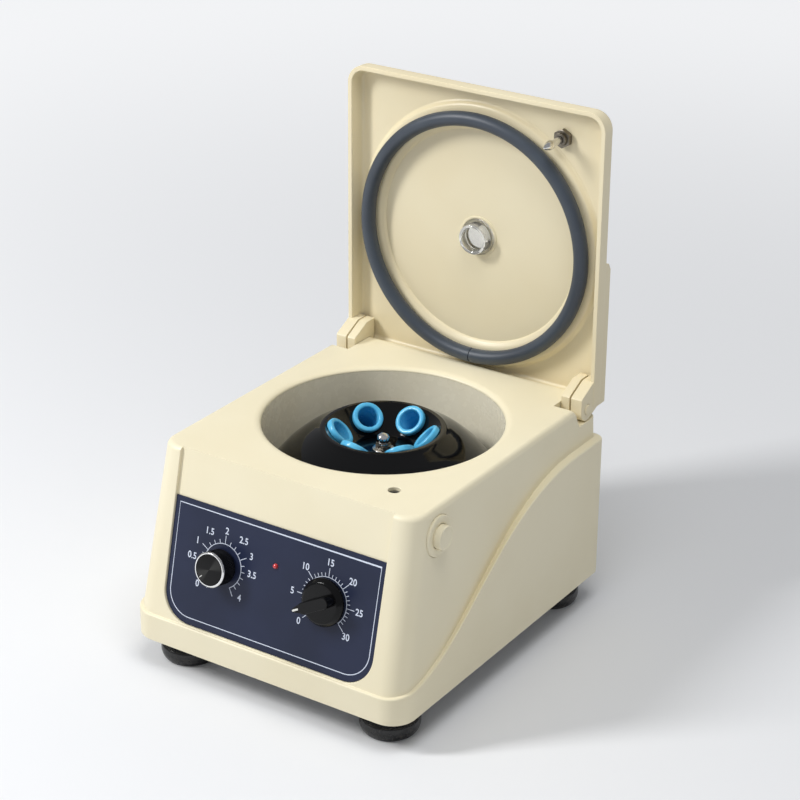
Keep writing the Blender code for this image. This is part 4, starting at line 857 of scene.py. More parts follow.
moulded_black = Finish("moulded_black", roughness=0.35)
black_grain = moulded_black.noise(1500, 3, 0.6)
moulded_black.set(
    "Base Color", moulded_black.mix(black_grain * 0.4, coloured(24, 24, 25), coloured(34, 34, 35)),
)
moulded_black.set("Roughness", 0.3 + moulded_black.noise(80, 3) * 0.15)
moulded_black.relief(black_grain, 0.00003, 0.5)
as_built("mains_inlet", moulded_black, "black_plastic", "housing", 0.0005)

fuse_profile = [
    (0.0, 0.0053), (0.0080, 0.0053), (0.0080, 0.0003), (0.0060, 0.0003), (0.0060, -0.026),
    (0.0, -0.026),
]
fuse = spun("fuse_holder_moulding", round_corners(fuse_profile, {1: 0.0014, 4: 0.001}), 64)
for turn in (0.0, math.pi / 2):
    groove = block("screwdriver_slot", (-0.0045, -0.0006, 0.0039), (0.0045, 0.0006, 0.007))
    groove.data.transform(Matrix.Rotation(turn, 4, "Z"))
    carve(fuse, groove)
tidy_mesh(fuse.data)
fuse.data.transform(fuse_place)
dressed(fuse, moulded_black, "black_plastic", "housing", "fuse_holder")

# Control panel film
# A polyester film printed on its face in dark blue and glued into the housing's recess.
# The ink has a fine silk grain, and its surface is satin.

panel_face = 0.0009 - 0.0028
panel = slab(
    "panel_film", panel_line(panel_half, panel_head, panel_foot, panel_round), panel_face - 0.0006,
    panel_face - 0.0001,
)
panel_top_skin = slab(
    "panel_film_face",
    panel_line(panel_half - 0.0001, panel_head + 0.0001, panel_foot - 0.0001, panel_round),
    panel_face - 0.0002,
    panel_face,
)
carve(panel, panel_top_skin, "UNION")
for (across, down), radius in panel_holes:
    carve(panel, slab("film_hole", disc(radius, 48, (across, -down)), -0.006, 0.002))
tidy_mesh(panel.data, 20)
panel.data.transform(panel_place)
film = Finish("printed_navy_film", roughness=0.4, specular_ior_level=0.3)
film_silk = film.noise(3800, 2, 0.5)
film_cloud = film.noise(18, 3, 0.5)
film_tone = film.mix(film_cloud.ramp(0.3, 0.7), coloured(34, 41, 66), coloured(29, 36, 58))
film.set("Base Color", film.mix(film_silk * 0.15, film_tone, coloured(48, 56, 82)))
film.set("Roughness", 0.3 + film_silk * 0.08 + film_cloud * 0.05)
film.relief(film_silk, 0.00001, 0.5)
dressed(evened(panel, 20), film, "panel_film", "housing", "control_panel")

# Panel print
# The border line, both scales and their numbers, silk-screened in pale blue-grey ink.
# The ink lies a few hundredths of a millimetre thick.

ink = Finish("pale_ink", roughness=0.45)
ink_wear = ink.noise(2400, 3, 0.6)
ink.set(
    "Base Color",
    ink.mix(ink_wear.ramp(0.55, 0.8) * 0.5, coloured(214, 222, 238), coloured(160, 170, 192)),
)
ink.set("Roughness", 0.4 + ink_wear * 0.15)
ink.relief(ink_wear, 0.00001, 0.4)
ink_low, ink_high = panel_face - 0.00002, panel_face + 0.00005


def line_band(name, path, width, cyclic=True):
    """A printed line of one width along a path on the panel."""
    count = len(path)
    bm = bmesh.new()
    rings = []
    for i, (x, y) in enumerate(path):
        before = Vector(path[i - 1] if cyclic or i else path[i])
        after = Vector(path[(i + 1) % count] if cyclic or i < count - 1 else path[i])
        along = (after - before).normalized()
        side_way = Vector((along.y, -along.x))
        first = (Vector((x, y)) - before).normalized() if (Vector((x, y)) - before).length else along
        stretch = 1 / max(0.5, abs(Vector((first.y, -first.x)).dot(side_way)))
        ring = []
        for offset, z in ((-1, ink_low), (1, ink_low), (1, ink_high), (-1, ink_high)):
            spot = Vector((x, y)) + side_way * offset * stretch * width / 2
            ring.append(bm.verts.new((spot.x, spot.y, z)))
        rings.append(ring)
    for i in range(count if cyclic else count - 1):
        near, far = rings[i], rings[(i + 1) % count]
        for k in range(4):
            bm.faces.new((near[k], near[(k + 1) % 4], far[(k + 1) % 4], far[k]))
    if not cyclic:
        bm.faces.new(rings[0])
        bm.faces.new(rings[-1])
    return settled(name, bm)


def merged(name, pieces):
    """Several pieces as one object."""
    bm = bmesh.new()
    for piece in pieces:
        bm.from_mesh(piece.data)
        bpy.data.objects.remove(piece, do_unlink=True)
    mesh = bpy.data.meshes.new(name)
    bm.to_mesh(mesh)
    bm.free()
    return new_piece(name, mesh)


def numeral(text, across, down, height):
    """A number, middled on a place of the panel."""
    curve = bpy.data.curves.new("numeral", "FONT")
    curve.body = text
    curve.size = height / 0.69
    curve.extrude = (ink_high - ink_low) / 2
    curve.offset = 0.00012
    curve.align_x = "CENTER"
    curve.resolution_u = 4
    curve.space_character = 1.02
    obj = new_piece("numeral_" + text, curve)
    made = as_mesh(obj)
    place = Matrix.Translation((across, -down - height / 2, (ink_high + ink_low) / 2))
    made.data.transform(place @ Matrix.Diagonal((0.9, 1.0, 1.0, 1.0)))
    return made


ticks_tree, wires = grown_tree(
    "dial_ticks",
    {"Count": "Int", "First": "Float", "Step": "Float", "Every": "Int", "Phase": "Int", "Radius": "Float",
     "Short": "Float", "Long": "Float", "Finish": "Material"},
)
tick_index = add_node(ticks_tree, "GeometryNodeInputIndex")
tick_angle = wires["First"] + tick_index * wires["Step"]
tick_long = ((tick_index + wires["Phase"]) % wires["Every"]) < 0.5
tick_length = wires["Short"] + (wires["Long"] - wires["Short"]) * tick_long
tick_reach = wires["Radius"] + tick_length / 2
tick_x = tick_reach * tick_angle.math("SINE", tick_angle)
tick_y = tick_reach * tick_angle.math("COSINE", tick_angle)
tick_spot = vector(ticks_tree, tick_x, tick_y, 0.0)
tick_turn = vector(ticks_tree, 0.0, 0.0, -tick_angle)
tick_size = vector(ticks_tree, 1.0, tick_length / 0.001, 1.0)
end_copies(ticks_tree, wires, tick_spot, tick_turn, tick_size)


def scale_of(name, spot, runs, step, lengths, arc_radius, arc_ends, numbers, height):
    """A dial's arc, ticks and numbers about one place. Each run is (count, first, every, phase)."""
    pieces = []
    for count, start, every, phase in runs:
        tick = block(name + "_ticks", (-0.00028, -0.0005, ink_low), (0.00028, 0.0005, ink_high))
        values = {
            "Count": count, "First": math.radians(start), "Step": math.radians(step), "Every": every,
            "Phase": phase,
        }
        values.update(
            {"Short": lengths[0], "Long": lengths[1], "Radius": arc_radius, "Finish": ink.material}
        )
        grow(tick, ticks_tree, values)
        tick.data.transform(Matrix.Translation((spot[0], -spot[1], 0)))
        pieces.append(tick)
    first, last = arc_ends
    steps = 90
    path = []
    for i in range(steps + 1):
        angle = math.radians(first + (last - first) * i / steps)
        path.append((spot[0] + arc_radius * math.sin(angle), -spot[1] + arc_radius * math.cos(angle)))
    pieces.append(line_band(name + "_arc", path, 0.0006, cyclic=False))
    for text, radius, degrees in numbers:
        angle = math.radians(degrees)
        pieces.append(
            numeral(text, spot[0] + radius * math.sin(angle), spot[1] - radius * math.cos(angle), height)
        )
    return pieces


print_pieces = [line_band("border", panel_line(0.0970, 0.0437, 0.1362, 0.0212, 20), 0.0007)]
speed_numbers = [
    ("0", 0.0306, -133), ("0.5", 0.0305, -89), ("1", 0.0304, -62), ("1.5", 0.0296, -33), ("2", 0.0292, 1),
    ("2.5", 0.0312, 34), ("3", 0.0305, 60), ("3.5", 0.0288, 88), ("4", 0.0288, 137),
]
speed_runs = [(6, -150, 6, 0), (9, -60, 4, 0), (6, 75, 6, 1)]
print_pieces += scale_of(
    "speed_scale", speed_spot, speed_runs, 15, (0.0034, 0.0070), 0.0182, (-150, 150), speed_numbers,
    0.0054,
)
timer_numbers = [(str(5 * i), 0.0316, -135 + 45 * i) for i in range(7)]
timer_runs = [(31, -135, 5, 0)]
print_pieces += scale_of(
    "timer_scale", timer_spot, timer_runs, 9, (0.0032, 0.0074), 0.0196, (-60, 135), timer_numbers, 0.0054,
)
panel_print = merged("panel_print", print_pieces)
tidy_mesh(panel_print.data, 20)
panel_print.data.transform(panel_place)
dressed(panel_print, ink, "panel_film", "housing")

# Power lamp
# A small red lens pushed through the panel from behind, clear moulded and domed.

dome_angles = [math.pi / 16 * k for k in range(1, 9)]
lamp_profile = [
    (0.0, panel_face + 0.0024),
    *[(0.002 * math.sin(a), panel_face + 0.0004 + 0.002 * math.cos(a)) for a in dome_angles],
    (0.0020, -0.0057 * math.cos(slope) - gap),
    (0.0030, -0.0057 * math.cos(slope) - gap),
    (0.0030, -0.0057 * math.cos(slope) - gap - 0.0017),
    (0.0, -0.0057 * math.cos(slope) - gap - 0.0017),
]
power_lamp = spun("power_lamp_lens", lamp_profile, 48)
power_lamp.data.transform(panel_place @ Matrix.Translation((lamp_spot[0], -lamp_spot[1], 0)))
lens = Finish("red_lens", roughness=0.12, coat_weight=0.6, coat_roughness=0.05)
lens_depth = lens.noise(700, 2)
lens.set("Base Color", lens.mix(lens_depth.ramp(0.3, 0.7), coloured(196, 44, 52), coloured(224, 84, 84)))
lens.relief(lens_depth, 0.00002, 0.2)
dressed(power_lamp, lens, "red_plastic", "housing", "power_lamp")

# Controls behind the panel
# A steel-cased potentiometer and a clockwork timer, each held by a nut on its threaded bush.

for node in ("speed_potentiometer", "timer_mechanism", "speed_nut", "timer_nut"):
    as_built(node, zinc, "zinc_steel", "housing")
for dial in ("speed", "timer"):
    as_built(dial + "_shaft", zinc, "zinc_steel", dial + "_control")

# Speed knob
# A black anodised aluminium knob with a fluted side, a spun face and a bright ring cut round its edge.
# A short line is engraved in the face and filled with white paint.

speed_place = panel_place @ Matrix.Translation((speed_spot[0], -speed_spot[1], 0)) @ Matrix.Rotation(
    math.radians(135), 4, "Z",
)
knob_profile = [
    (0.0, 0.013), (0.0033, 0.013), (0.0033, 0.006), (0.0085, 0.006), (0.0085, 0.0002),
    (0.01415, 0.0002), (0.01415, 0.0142), (0.0123, 0.0142), (0.0123, 0.0160), (0.0, 0.0160),
]
speed_knob = spun(
    "speed_knob_turned", round_corners(knob_profile, {5: 0.0006, 6: 0.0003, 8: 0.0002}), 128,
)
flute = block("flute", (0.01395, -0.00022, 0.0012), (0.01439, 0.00022, 0.0134), 0.00018)
ribs_tree, wires = grown_tree("knob_flutes", {"Count": "Int", "Finish": "Material"})
rib_index = add_node(ribs_tree, "GeometryNodeInputIndex")
rib_angle = rib_index * (2 * math.pi) / wires["Count"]
end_copies(ribs_tree, wires, (0.0, 0.0, 0.0), vector(ribs_tree, 0.0, 0.0, rib_angle))
anodised = Finish("black_anodised", roughness=0.28, metallic=0.0, specular_ior_level=0.22)
spun_place = anodised.moved(speed_place.to_translation(), panel_place.to_euler())
across_face, up_face = anodised.axis(spun_place, 0), anodised.axis(spun_place, 1)
face_radius = anodised.reach(spun_place)
spun_lines = anodised.rings(face_radius, 5200.0, 3.0)
face_angle = across_face.math("ARCTAN2", up_face, across_face)
# Painted sheen: a lighter grey band in two lobes across the spun face, painted into its colour to stand for
# the light caught by the spun lines, fading a little towards the rim.
painted_sheen_band = (face_angle * 2 - 1.3).math("COSINE", face_angle * 2 - 1.3)
painted_sheen_mask = painted_sheen_band.ramp(0.35, 1.0) * (face_radius.ramp(0.0136, 0.0116)) * (
    1 - face_radius.ramp(0.0, 0.016) * 0.3
)
anodised.set("Base Color", anodised.mix(painted_sheen_mask * 0.5, coloured(11, 11, 12), coloured(70, 70, 68)))
anodised.set("Roughness", 0.22 + spun_lines * 0.22)
anodised.relief(spun_lines, 0.00002, 0.5)
grow(flute, ribs_tree, {"Count": 72, "Finish": anodised.material})
speed_knob = merged("speed_knob_turned", [speed_knob, flute])
speed_knob.data.transform(speed_place)
speed_knob.data.shade_smooth()
speed_knob.data.set_sharp_from_angle(angle=math.radians(30))
dressed(speed_knob, anodised, "black_plastic", "speed_control", "speed_knob")
white_paint = Finish("white_paint", roughness=0.4)
white_paint.set(
    "Base Color",
    white_paint.mix(white_paint.noise(1500, 2), coloured(232, 232, 228), coloured(216, 216, 210)),
)
white_paint.relief(white_paint.noise(2500, 2), 0.00001, 0.3)
speed_line = block("speed_pointer_line", (-0.00028, 0.0086, 0.01595), (0.00028, 0.0118, 0.01606), 0.00003)
speed_line.data.transform(speed_place)
dressed(speed_line, white_paint, "black_plastic", "speed_control")
ring_profile = [(0.0128, 0.0161), (0.0136, 0.01615), (0.0144, 0.0152), (0.0144, 0.0147), (0.0128, 0.0147)]
speed_ring = spun(
    "speed_knob_bright_ring", round_corners(ring_profile, {1: 0.0002, 2: 0.0002}, 3), 128, closed=True,
)
speed_ring.data.transform(speed_place)
polished = clouded(
    "polished_steel", (900, 4, 0.6), (0.4, 0.7), (232, 232, 232), (214, 214, 216), 0.1, 0.14, metallic=1.0
)
polished.relief(polished.cloud, 0.00001, 0.3)
dressed(speed_ring, polished, "bright_steel", "speed_control", "speed_knob_ring")

# Timer knob
# A gloss black moulded knob: a low round skirt, a bar to grip, and a pointer that reaches over the scale.
# The pointer carries a white painted line.

timer_place = panel_place @ Matrix.Translation((timer_spot[0], -timer_spot[1], 0)) @ Matrix.Rotation(
    math.radians(118), 4, "Z",
)
timer_skirt = [
    (0.0, 0.0070), (0.0150, 0.0068), (0.0165, 0.0065), (0.0195, 0.0030), (0.0195, 0.0010),
    (0.0085, 0.0010), (0.0, 0.0010),
]
timer_knob = spun("timer_knob_moulding", round_corners(timer_skirt, {2: 0.0012, 3: 0.001, 4: 0.0003}), 96)
grip_line = bow((0.0, 0.0084), 0.0048, 0.0, math.pi, 10) + bow(
    (0.0, -0.0107), 0.0048, math.pi, 2 * math.pi, 10,
)
grip = slab("timer_grip", grip_line, 0.0030, 0.0180)
grip_top = 0.0179
softened(grip, lambda e: len(e.link_faces) == 2 and min(v.co.z for v in e.verts) > grip_top, 0.0008)
carve(timer_knob, grip, "UNION")
pointer_line = [
    (0.0044, 0.0), (0.0044, 0.0130), (0.0013, 0.0228), (-0.0013, 0.0228), (-0.0044, 0.0130), (-0.0044, 0.0),
]
carve(timer_knob, slab("timer_pointer", pointer_line, 0.0013, 0.0125), "UNION")
carve(timer_knob, slab("nut_room", disc(0.0085, 48), -0.004, 0.0060))
carve(timer_knob, slab("shaft_bore", disc(0.0033, 32), 0.0, 0.0130))
evened(timer_knob, 28)
gloss_black = Finish("gloss_black", roughness=0.16, specular_ior_level=0.22)
gloss_cloud = gloss_black.noise(60, 3, 0.5)
gloss_black.set(
    "Base Color",
    gloss_black.mix(
        gloss_black.noise(900, 4, 0.7).ramp(0.6, 0.85) * 0.3, coloured(10, 10, 11), coloured(30, 30, 29),
    ),
)
gloss_black.set("Roughness", 0.12 + gloss_cloud * 0.1)
gloss_black.relief(gloss_black.noise(420, 2), 0.00002, 0.25)
timer_knob.data.transform(timer_place)
dressed(timer_knob, gloss_black, "black_plastic", "timer_control", "timer_knob")
timer_line = block("timer_pointer_line", (-0.00075, 0.0140, 0.01245), (0.00075, 0.0226, 0.01256), 0.00004)
timer_line.data.transform(timer_place)
dressed(timer_line, white_paint, "black_plastic", "timer_control")

# Release button and its collar
# A round cap in cream plastic slides in a turned collar pressed into the housing's right side.

side_place = Matrix.Translation((0.1230, button_y, button_z)) @ crosswise
collar_profile = [(0.0101, 0.0034), (0.0168, 0.0034), (0.0168, 0.0003), (0.0101, 0.0003)]
collar = spun(
    "button_collar_moulding", round_corners(collar_profile, {0: 0.0012, 1: 0.0024}, 6), 96, closed=True,
)
collar.data.transform(side_place)
dressed(collar, cream, "cream_plastic", "housing", "button_collar")
cap_place = Matrix.Translation((0.1323, button_y, button_z)) @ crosswise
cap_profile = [
    (0.0, -0.0006), (0.0078, -0.0005), (0.0086, 0.0), (0.0098, 0.0), (0.0098, -0.0123),
    (0.0040, -0.0123), (0.0040, -0.0338), (0.0, -0.0338),
]
cap = spun(
    "release_button_cap", round_corners(cap_profile, {1: 0.0004, 2: 0.0004, 3: 0.001, 5: 0.001}, 5), 80,
)
cap.data.transform(cap_place)
dressed(cap, cream, "cream_plastic", "release", "release_button")

# Latch behind the button
# A polished slide catches the pin's neck, in a zinc-plated bracket with a small interlock switch under it.

as_built("latch_slide", zinc, "bright_steel", "release", 0.0002)
as_built("latch_bracket", zinc, "zinc_steel", "housing", 0.0002)
as_built("interlock_switch", moulded_black, "black_plastic", "housing")

# Button spring
# One compression spring of bright wire round the button's stem.

spring_low, spring_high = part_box("button_spring")
coil_tree, wires = grown_tree(
    "wound_spring", {
        "Turns": "Float", "Radius": "Float", "Length": "Float", "Wire": "Float", "Finish": "Material",
    }
)
coil_sockets = {"Resolution": 40, "Rotations": wires["Turns"], "Height": wires["Length"]}
coil_sockets.update({"Start Radius": wires["Radius"], "End Radius": wires["Radius"]})
coil_path = add_node(coil_tree, "GeometryNodeCurveSpiral", {}, coil_sockets)
end_sweep(coil_tree, coil_path, wires["Wire"], 12)
coil_length = spring_high.x - spring_low.x - 0.0010
spring = new_piece("button_spring_wound", bpy.data.meshes.new("button_spring_wound"))
coil_values = {
    "Turns": 4.0, "Radius": 0.0058, "Length": coil_length, "Wire": 0.0005, "Finish": polished.material,
}
grow(spring, coil_tree, coil_values)
spring.data.transform(Matrix.Translation((spring_low.x + 0.0005, button_y, button_z)) @ crosswise)
tidy_mesh(spring.data, 60)
dressed(spring, polished, "bright_steel", "housing", "button_spring")
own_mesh(spring)

# Rotor
# A fixed-angle rotor moulded in glossy black plastic: a cone with six slanting seats about its hub.
# Its skirt runs down to a thin flange near the bowl's wall.

seat_ring_radius, seat_drop, dish_plate = 0.0339, 0.0139, 0.0055
dish_drop, rotor_rim_drop, hub_radius, hub_drop = 0.0290, 0.0080, 0.0140, 0.0580
under_dish = dish_drop + dish_plate
dish_foot = seat_ring_radius + seat_drop + math.sqrt(2) * dish_plate
rotor_profile = [
    (0.0063, -dish_drop), (dish_foot - dish_drop, -dish_drop),
    (dish_foot - rotor_rim_drop, -rotor_rim_drop), (0.0512, -rotor_rim_drop), (0.0540, -0.0100),
    (0.0680, -0.0180), (0.0820, -0.0300), (0.0920, -0.0420), (0.0956, -0.0470), (0.0956, -0.0505),
    (0.0903, -0.0505), (0.0803, -0.0335), (0.0512, -0.0150),
    (dish_foot - under_dish + dish_plate * math.sqrt(2), -under_dish), (hub_radius, -under_dish),
    (hub_radius, -hub_drop), (0.0063, -hub_drop),
]
rotor_rounding = {
    1: 0.002, 2: 0.0008, 3: 0.0012, 4: 0.003, 5: 0.006, 6: 0.006, 7: 0.003, 8: 0.001, 9: 0.0008, 15: 0.001,
}
rotor = spun("rotor_moulding", round_corners(rotor_profile, rotor_rounding, 6), 180, closed=True)
sleeve_first, sleeve_lean = math.radians(25), math.radians(45)
for i in range(6):
    angle = sleeve_first + 2 * math.pi * i / 6
    across, back = seat_ring_radius * math.cos(angle), seat_ring_radius * math.sin(angle)
    spot = Matrix.Translation((across, back, -seat_drop))
    lean = spot @ Matrix.Rotation(angle, 4, "Z") @ Matrix.Rotation(-sleeve_lean, 4, "Y")
    carve(rotor, slab("sleeve_bore", disc(0.0104, 48), -0.0705, 0.0, lean))
    carve(rotor, slab("sleeve_seat", disc(0.01337, 48), -0.0055, 0.005, lean))
evened(rotor, 28)
rotor.data.transform(bowl_place)
rotor_black = Finish("rotor_gloss_black", roughness=0.13, specular_ior_level=0.32)
turned_rings = rotor_black.rings(rotor_black.reach(rotor_black.moved((0, rotor_axis_y, 0))), 900.0, 4.0)
rotor_scuffs = rotor_black.noise(320, 5, 0.7).ramp(0.58, 0.8)
rotor_black.set(
    "Base Color", rotor_black.mix(rotor_scuffs * 0.2, coloured(5, 5, 6), coloured(20, 19, 18)),
)
rotor_black.set("Roughness", 0.06 + turned_rings * 0.06 + rotor_scuffs * 0.06)
rotor_black.relief(turned_rings, 0.00002, 0.2)
dressed(rotor, rotor_black, "black_plastic", "rotor_group", "rotor")

# Tube sleeves
# Six light blue polypropylene sleeves, each with a thick rolled lip, dropped into the rotor's slanting seats.

sleeve_profile = [
    (0.0, -0.0685), (0.0062, -0.0672), (0.0089, -0.0640), (0.0089, 0.0), (0.01307, 0.0),
    (0.01307, -0.0052), (0.0101, -0.0052), (0.0101, -0.0661), (0.0045, -0.0705), (0.0, -0.0705),
]
sleeve_rounding = {1: 0.001, 2: 0.001, 3: 0.0016, 4: 0.0022, 5: 0.0014, 6: 0.0004, 7: 0.002, 8: 0.001}
sleeves = spun("tube_sleeves", round_corners(sleeve_profile, sleeve_rounding, 7), 72, angle=50)
ring_tree, wires = grown_tree(
    "leaning_ring", {
        "Count": "Int", "First": "Float", "Lean": "Float", "Radius": "Float", "Height": "Float",
        "Finish": "Material",
    }
)
ring_index = add_node(ring_tree, "GeometryNodeInputIndex")
ring_angle = wires["First"] + ring_index * (2 * math.pi) / wires["Count"]
ring_x = wires["Radius"] * ring_angle.math("COSINE", ring_angle)
ring_y = wires["Radius"] * ring_angle.math("SINE", ring_angle)
ring_spot = vector(ring_tree, ring_x, ring_y, wires["Height"])
end_copies(ring_tree, wires, ring_spot, vector(ring_tree, 0.0, -wires["Lean"], ring_angle))
sleeve_blue = clouded(
    "sleeve_polypropylene", (110, 3, 0.5), (0.3, 0.7), (98, 192, 232), (78, 176, 222), 0.2, 0.12
)
sleeve_blue.relief(sleeve_blue.noise(1300, 3), 0.00003, 0.35)
sleeve_values = {"Count": 6, "First": sleeve_first, "Lean": sleeve_lean, "Radius": seat_ring_radius}
sleeve_values.update({"Height": -seat_drop, "Finish": sleeve_blue.material})
grow(sleeves, ring_tree, sleeve_values)
sleeves.data.transform(bowl_place)
sleeve_names = ["tube_sleeve_%d" % i for i in range(1, 7)]
dressed(sleeves, sleeve_blue, "sleeve_plastic", "rotor_group", *sleeve_names)

# Rotor's hub
# A brass adapter on the motor's shaft carries the rotor, under a bright washer and a dark crown nut.
# A polished ball is screwed on above the nut.

as_built("motor_shaft", polished, "bright_steel", "rotor_group")
brass = clouded(
    "turned_brass", (300, 3, 0.5), (0.3, 0.7), (218, 190, 128), (200, 170, 110), 0.24, 0.15, metallic=1.0
)
brass.relief(brass.cloud, 0.00002, 0.3)
as_built("rotor_adapter", brass, "brass", "rotor_group")
washer_profile = [(0.0043, -0.0272), (0.0090, -0.0272), (0.0090, -0.0287), (0.0043, -0.0287)]
washer = spun(
    "hub_washer_turned", round_corners(washer_profile, {0: 0.0002, 1: 0.0004, 2: 0.0002, 3: 0.0002}), 72,
    closed=True,
)
washer.data.transform(bowl_place)
dressed(washer, polished, "bright_steel", "rotor_group", "hub_washer")


def hexagon_nut(name, flats, low, high, turn=0.0):
    """A hexagon with its corners turned off at both ends."""
    corner = flats / math.sqrt(3)
    hexagon = bow((0.0, 0.0), corner, turn, turn + math.pi / 3 * 5, 5)
    nut = slab(name, hexagon, low, high)
    reach = corner + 0.001
    drop = (reach - flats / 2) * math.tan(math.radians(30))
    bound = [
        (0.0, high), (flats / 2, high), (reach, high - drop), (reach, low + drop), (flats / 2, low),
        (0.0, low),
    ]
    return carve(nut, spun("turning", bound, 64), "INTERSECT")


hub_nut = hexagon_nut("hub_crown_nut", 0.0124, -0.0269, -0.0236)
for i in range(3):
    notch = block("castle_notch", (-0.009, -0.0008, -0.0248), (0.009, 0.0008, -0.020))
    notch.data.transform(Matrix.Rotation(math.radians(60 * i + 30), 4, "Z"))
    carve(hub_nut, notch)
carve(hub_nut, slab("hub_bore", disc(0.0043, 32), -0.030, -0.010))
evened(hub_nut, 26)
hub_nut.data.transform(bowl_place)
dressed(hub_nut, blackened, "bright_steel", "rotor_group", "hub_nut")
ball_radius, ball_centre = 0.0055, -0.0194
ball_profile = [(0.0, ball_centre + ball_radius)]
for k in range(1, 16):
    angle = math.pi / 20 * k
    ball_profile.append((ball_radius * math.sin(angle), ball_centre + ball_radius * math.cos(angle)))
ball_profile += [(0.0041, -0.0237), (0.0041, -0.0262), (0.0, -0.0262)]
hub_ball = spun("hub_ball", ball_profile, 64)
hub_ball.data.transform(bowl_place)
dressed(hub_ball, polished, "bright_steel", "rotor_group")

# Lid shell
# One cream moulding: a shallow tray with a turned-down rim, a raised ring that seats the gasket,
# two flat rails along its back and a pair of slotted ears that the hinge pins pass through.

lid_place = Matrix.Translation((0, hinge_y, hinge_z)) @ Matrix.Rotation(-math.pi / 2, 4, "X")
lid_half, lid_reach, lid_rear = 0.1242, 0.2523, 0.0037
lid_centre_y = rotor_axis_y - hinge_y
ear_face = lid_half - 0.0004


def lid_plan(inset):
    """The lid's outline as it lies shut, seen from above, from the hinge axis."""
    front_round = 0.016 - min(inset, 0.008)
    rear_round = 0.004 - min(inset, 0.002)
    return plan(lid_half - inset, inset - lid_reach, lid_rear - inset, front_round, rear_round)


def lid_row(inset, height):
    return [(p.x, p.y, height) for p in lid_plan(inset)]


lid_rows = [lid_row(0.0008, 0.009), lid_row(0.0002, 0.0092), lid_row(0.0, 0.0098), lid_row(0.0, 0.014)]
for step in range(9):
    angle = math.pi / 2 * step / 8
    lid_rows.append(lid_row(0.007 * (1 - math.cos(angle)), 0.019 + 0.007 * math.sin(angle)))
lid = skinned("lid_moulding", lid_rows)
for side in (-1, 1):
    inner, outer = sorted((side * (ear_face - 0.020), side * ear_face))
    rail_back = lid_rear - 0.0004
    rail_line = [(-0.1215, 0.0165), (-0.1215, 0.0258), (-0.1160, 0.0290)]
    rail_line += [(rail_back, 0.0290), (rail_back, 0.0165)]
    rail = slab("lid_rail", rail_line, inner, outer, crosswise)
    carve(lid, rail, "UNION")
hollow_rows = [
    lid_row(0.0030, 0.004), lid_row(0.0032, 0.0090), lid_row(0.0038, 0.0093), lid_row(0.0041, 0.0100),
]
hollow_rows += [lid_row(0.0041 + 0.0014 * t, 0.010 + 0.010 * t) for t in (0.33, 0.66, 1.0)]
for step in range(1, 6):
    angle = math.pi / 2 * step / 5
    hollow_rows.append(lid_row(0.0055 + 0.003 * (1 - math.cos(angle)), 0.020 + 0.003 * math.sin(angle)))
carve(lid, skinned("lid_hollow", hollow_rows))
seat_ring = [
    (0.0936, 0.0234), (0.0936, 0.0229), (0.0948, 0.0213), (0.0985, 0.0191), (0.1115, 0.0191),
    (0.1150, 0.0197), (0.1172, 0.0222), (0.1186, 0.0229), (0.1186, 0.0234),
]
seat_ring = round_corners(seat_ring, {2: 0.0008, 3: 0.002, 4: 0.001, 5: 0.003, 6: 0.002}, 5)
ring = spun("gasket_seat", seat_ring, 180, closed=True)
ring.data.transform(Matrix.Translation((0, lid_centre_y, 0)))
carve(lid, ring, "UNION")
carve(lid, block("rear_cut", (-0.104, -0.014, 0.004), (0.104, lid_rear + 0.005, 0.0174), 0.0015, 3))
ear_line = bow((0.0, 0.0), 0.010, -math.pi / 2, math.radians(15), 12)
ear_line = [(-0.021, 0.0205), (-0.021, 0.0085), (-0.0126, -0.0088), (-0.0112, -0.010)] + ear_line
ear_line += [(lid_rear - 0.0003, 0.0174), (lid_rear - 0.0003, 0.0205)]


def is_ear_rim(edge):
    """Whether an edge runs round one of an ear's two flat sides."""
    along = abs(edge.verts[0].co.x - edge.verts[1].co.x)
    return edge.is_manifold and edge.calc_face_angle() > 1.2 and along < 1e-6


for side in (-1, 1):
    inner, outer = sorted((side * 0.104, side * ear_face))
    ear = slab("hinge_ear", ear_line, inner, outer, crosswise)
    softened(ear, is_ear_rim, 0.0007)
    carve(lid, ear, "UNION")
    slot_low = (side * tab_middle - 0.0009, -0.026, -0.015)
    carve(lid, block("ear_slot", slot_low, (side * tab_middle + 0.0009, 0.015, 0.020)))
    inner, outer = sorted((side * 0.099, side * (lid_half + 0.005)))
    carve(lid, slab("pin_bore", disc(0.0028, 32), inner, outer, crosswise))
    inner, outer = sorted((side * (ear_face - 0.0015), side * (lid_half + 0.005)))
    carve(lid, slab("pin_sink", disc(0.0048, 48), inner, outer, crosswise))
window_spot = Matrix.Translation((0, lid_centre_y, 0))
window_ring = round_corners(
    [(0.0158, 0.0232), (0.0178, 0.0232), (0.0178, 0.0222), (0.0158, 0.0222)], {2: 0.0006, 3: 0.0004}, 4,
)
window_boss = spun("window_boss", window_ring, 96, closed=True)
window_boss.data.transform(window_spot)
carve(lid, window_boss, "UNION")
carve(lid, slab("window_hole", disc(0.0133, 64), 0.018, 0.031, window_spot))
pin_spot = Matrix.Translation((latch_x, latch_y - hinge_y, 0))
carve(lid, slab("pin_hole", disc(0.0033, 32), 0.018, 0.031, pin_spot))
evened(lid, 28)
lid.data.transform(lid_place)
lid_cream = Finish("lid_cream", roughness=0.34, specular_ior_level=0.5)
lid_cloud = lid_cream.noise(8, 3, 0.5)
lid_mottle = lid_cream.noise(150, 4, 0.6)
lid_tone = lid_cream.mix(lid_cloud.ramp(0.3, 0.7), coloured(237, 226, 194), coloured(232, 219, 184))
lid_cream.set(
    "Base Color",
    lid_cream.mix(lid_cream.noise(420, 5, 0.7).ramp(0.6, 0.8) * 0.12, lid_tone, coloured(206, 194, 160)),
)
lid_cream.set("Roughness", 0.3 + lid_mottle * 0.1)
lid_cream.relief(lid_cream.noise(1900, 3, 0.6), 0.00003, 0.45)
dressed(lid, lid_cream, "lid_plastic", "lid", "lid_shell")

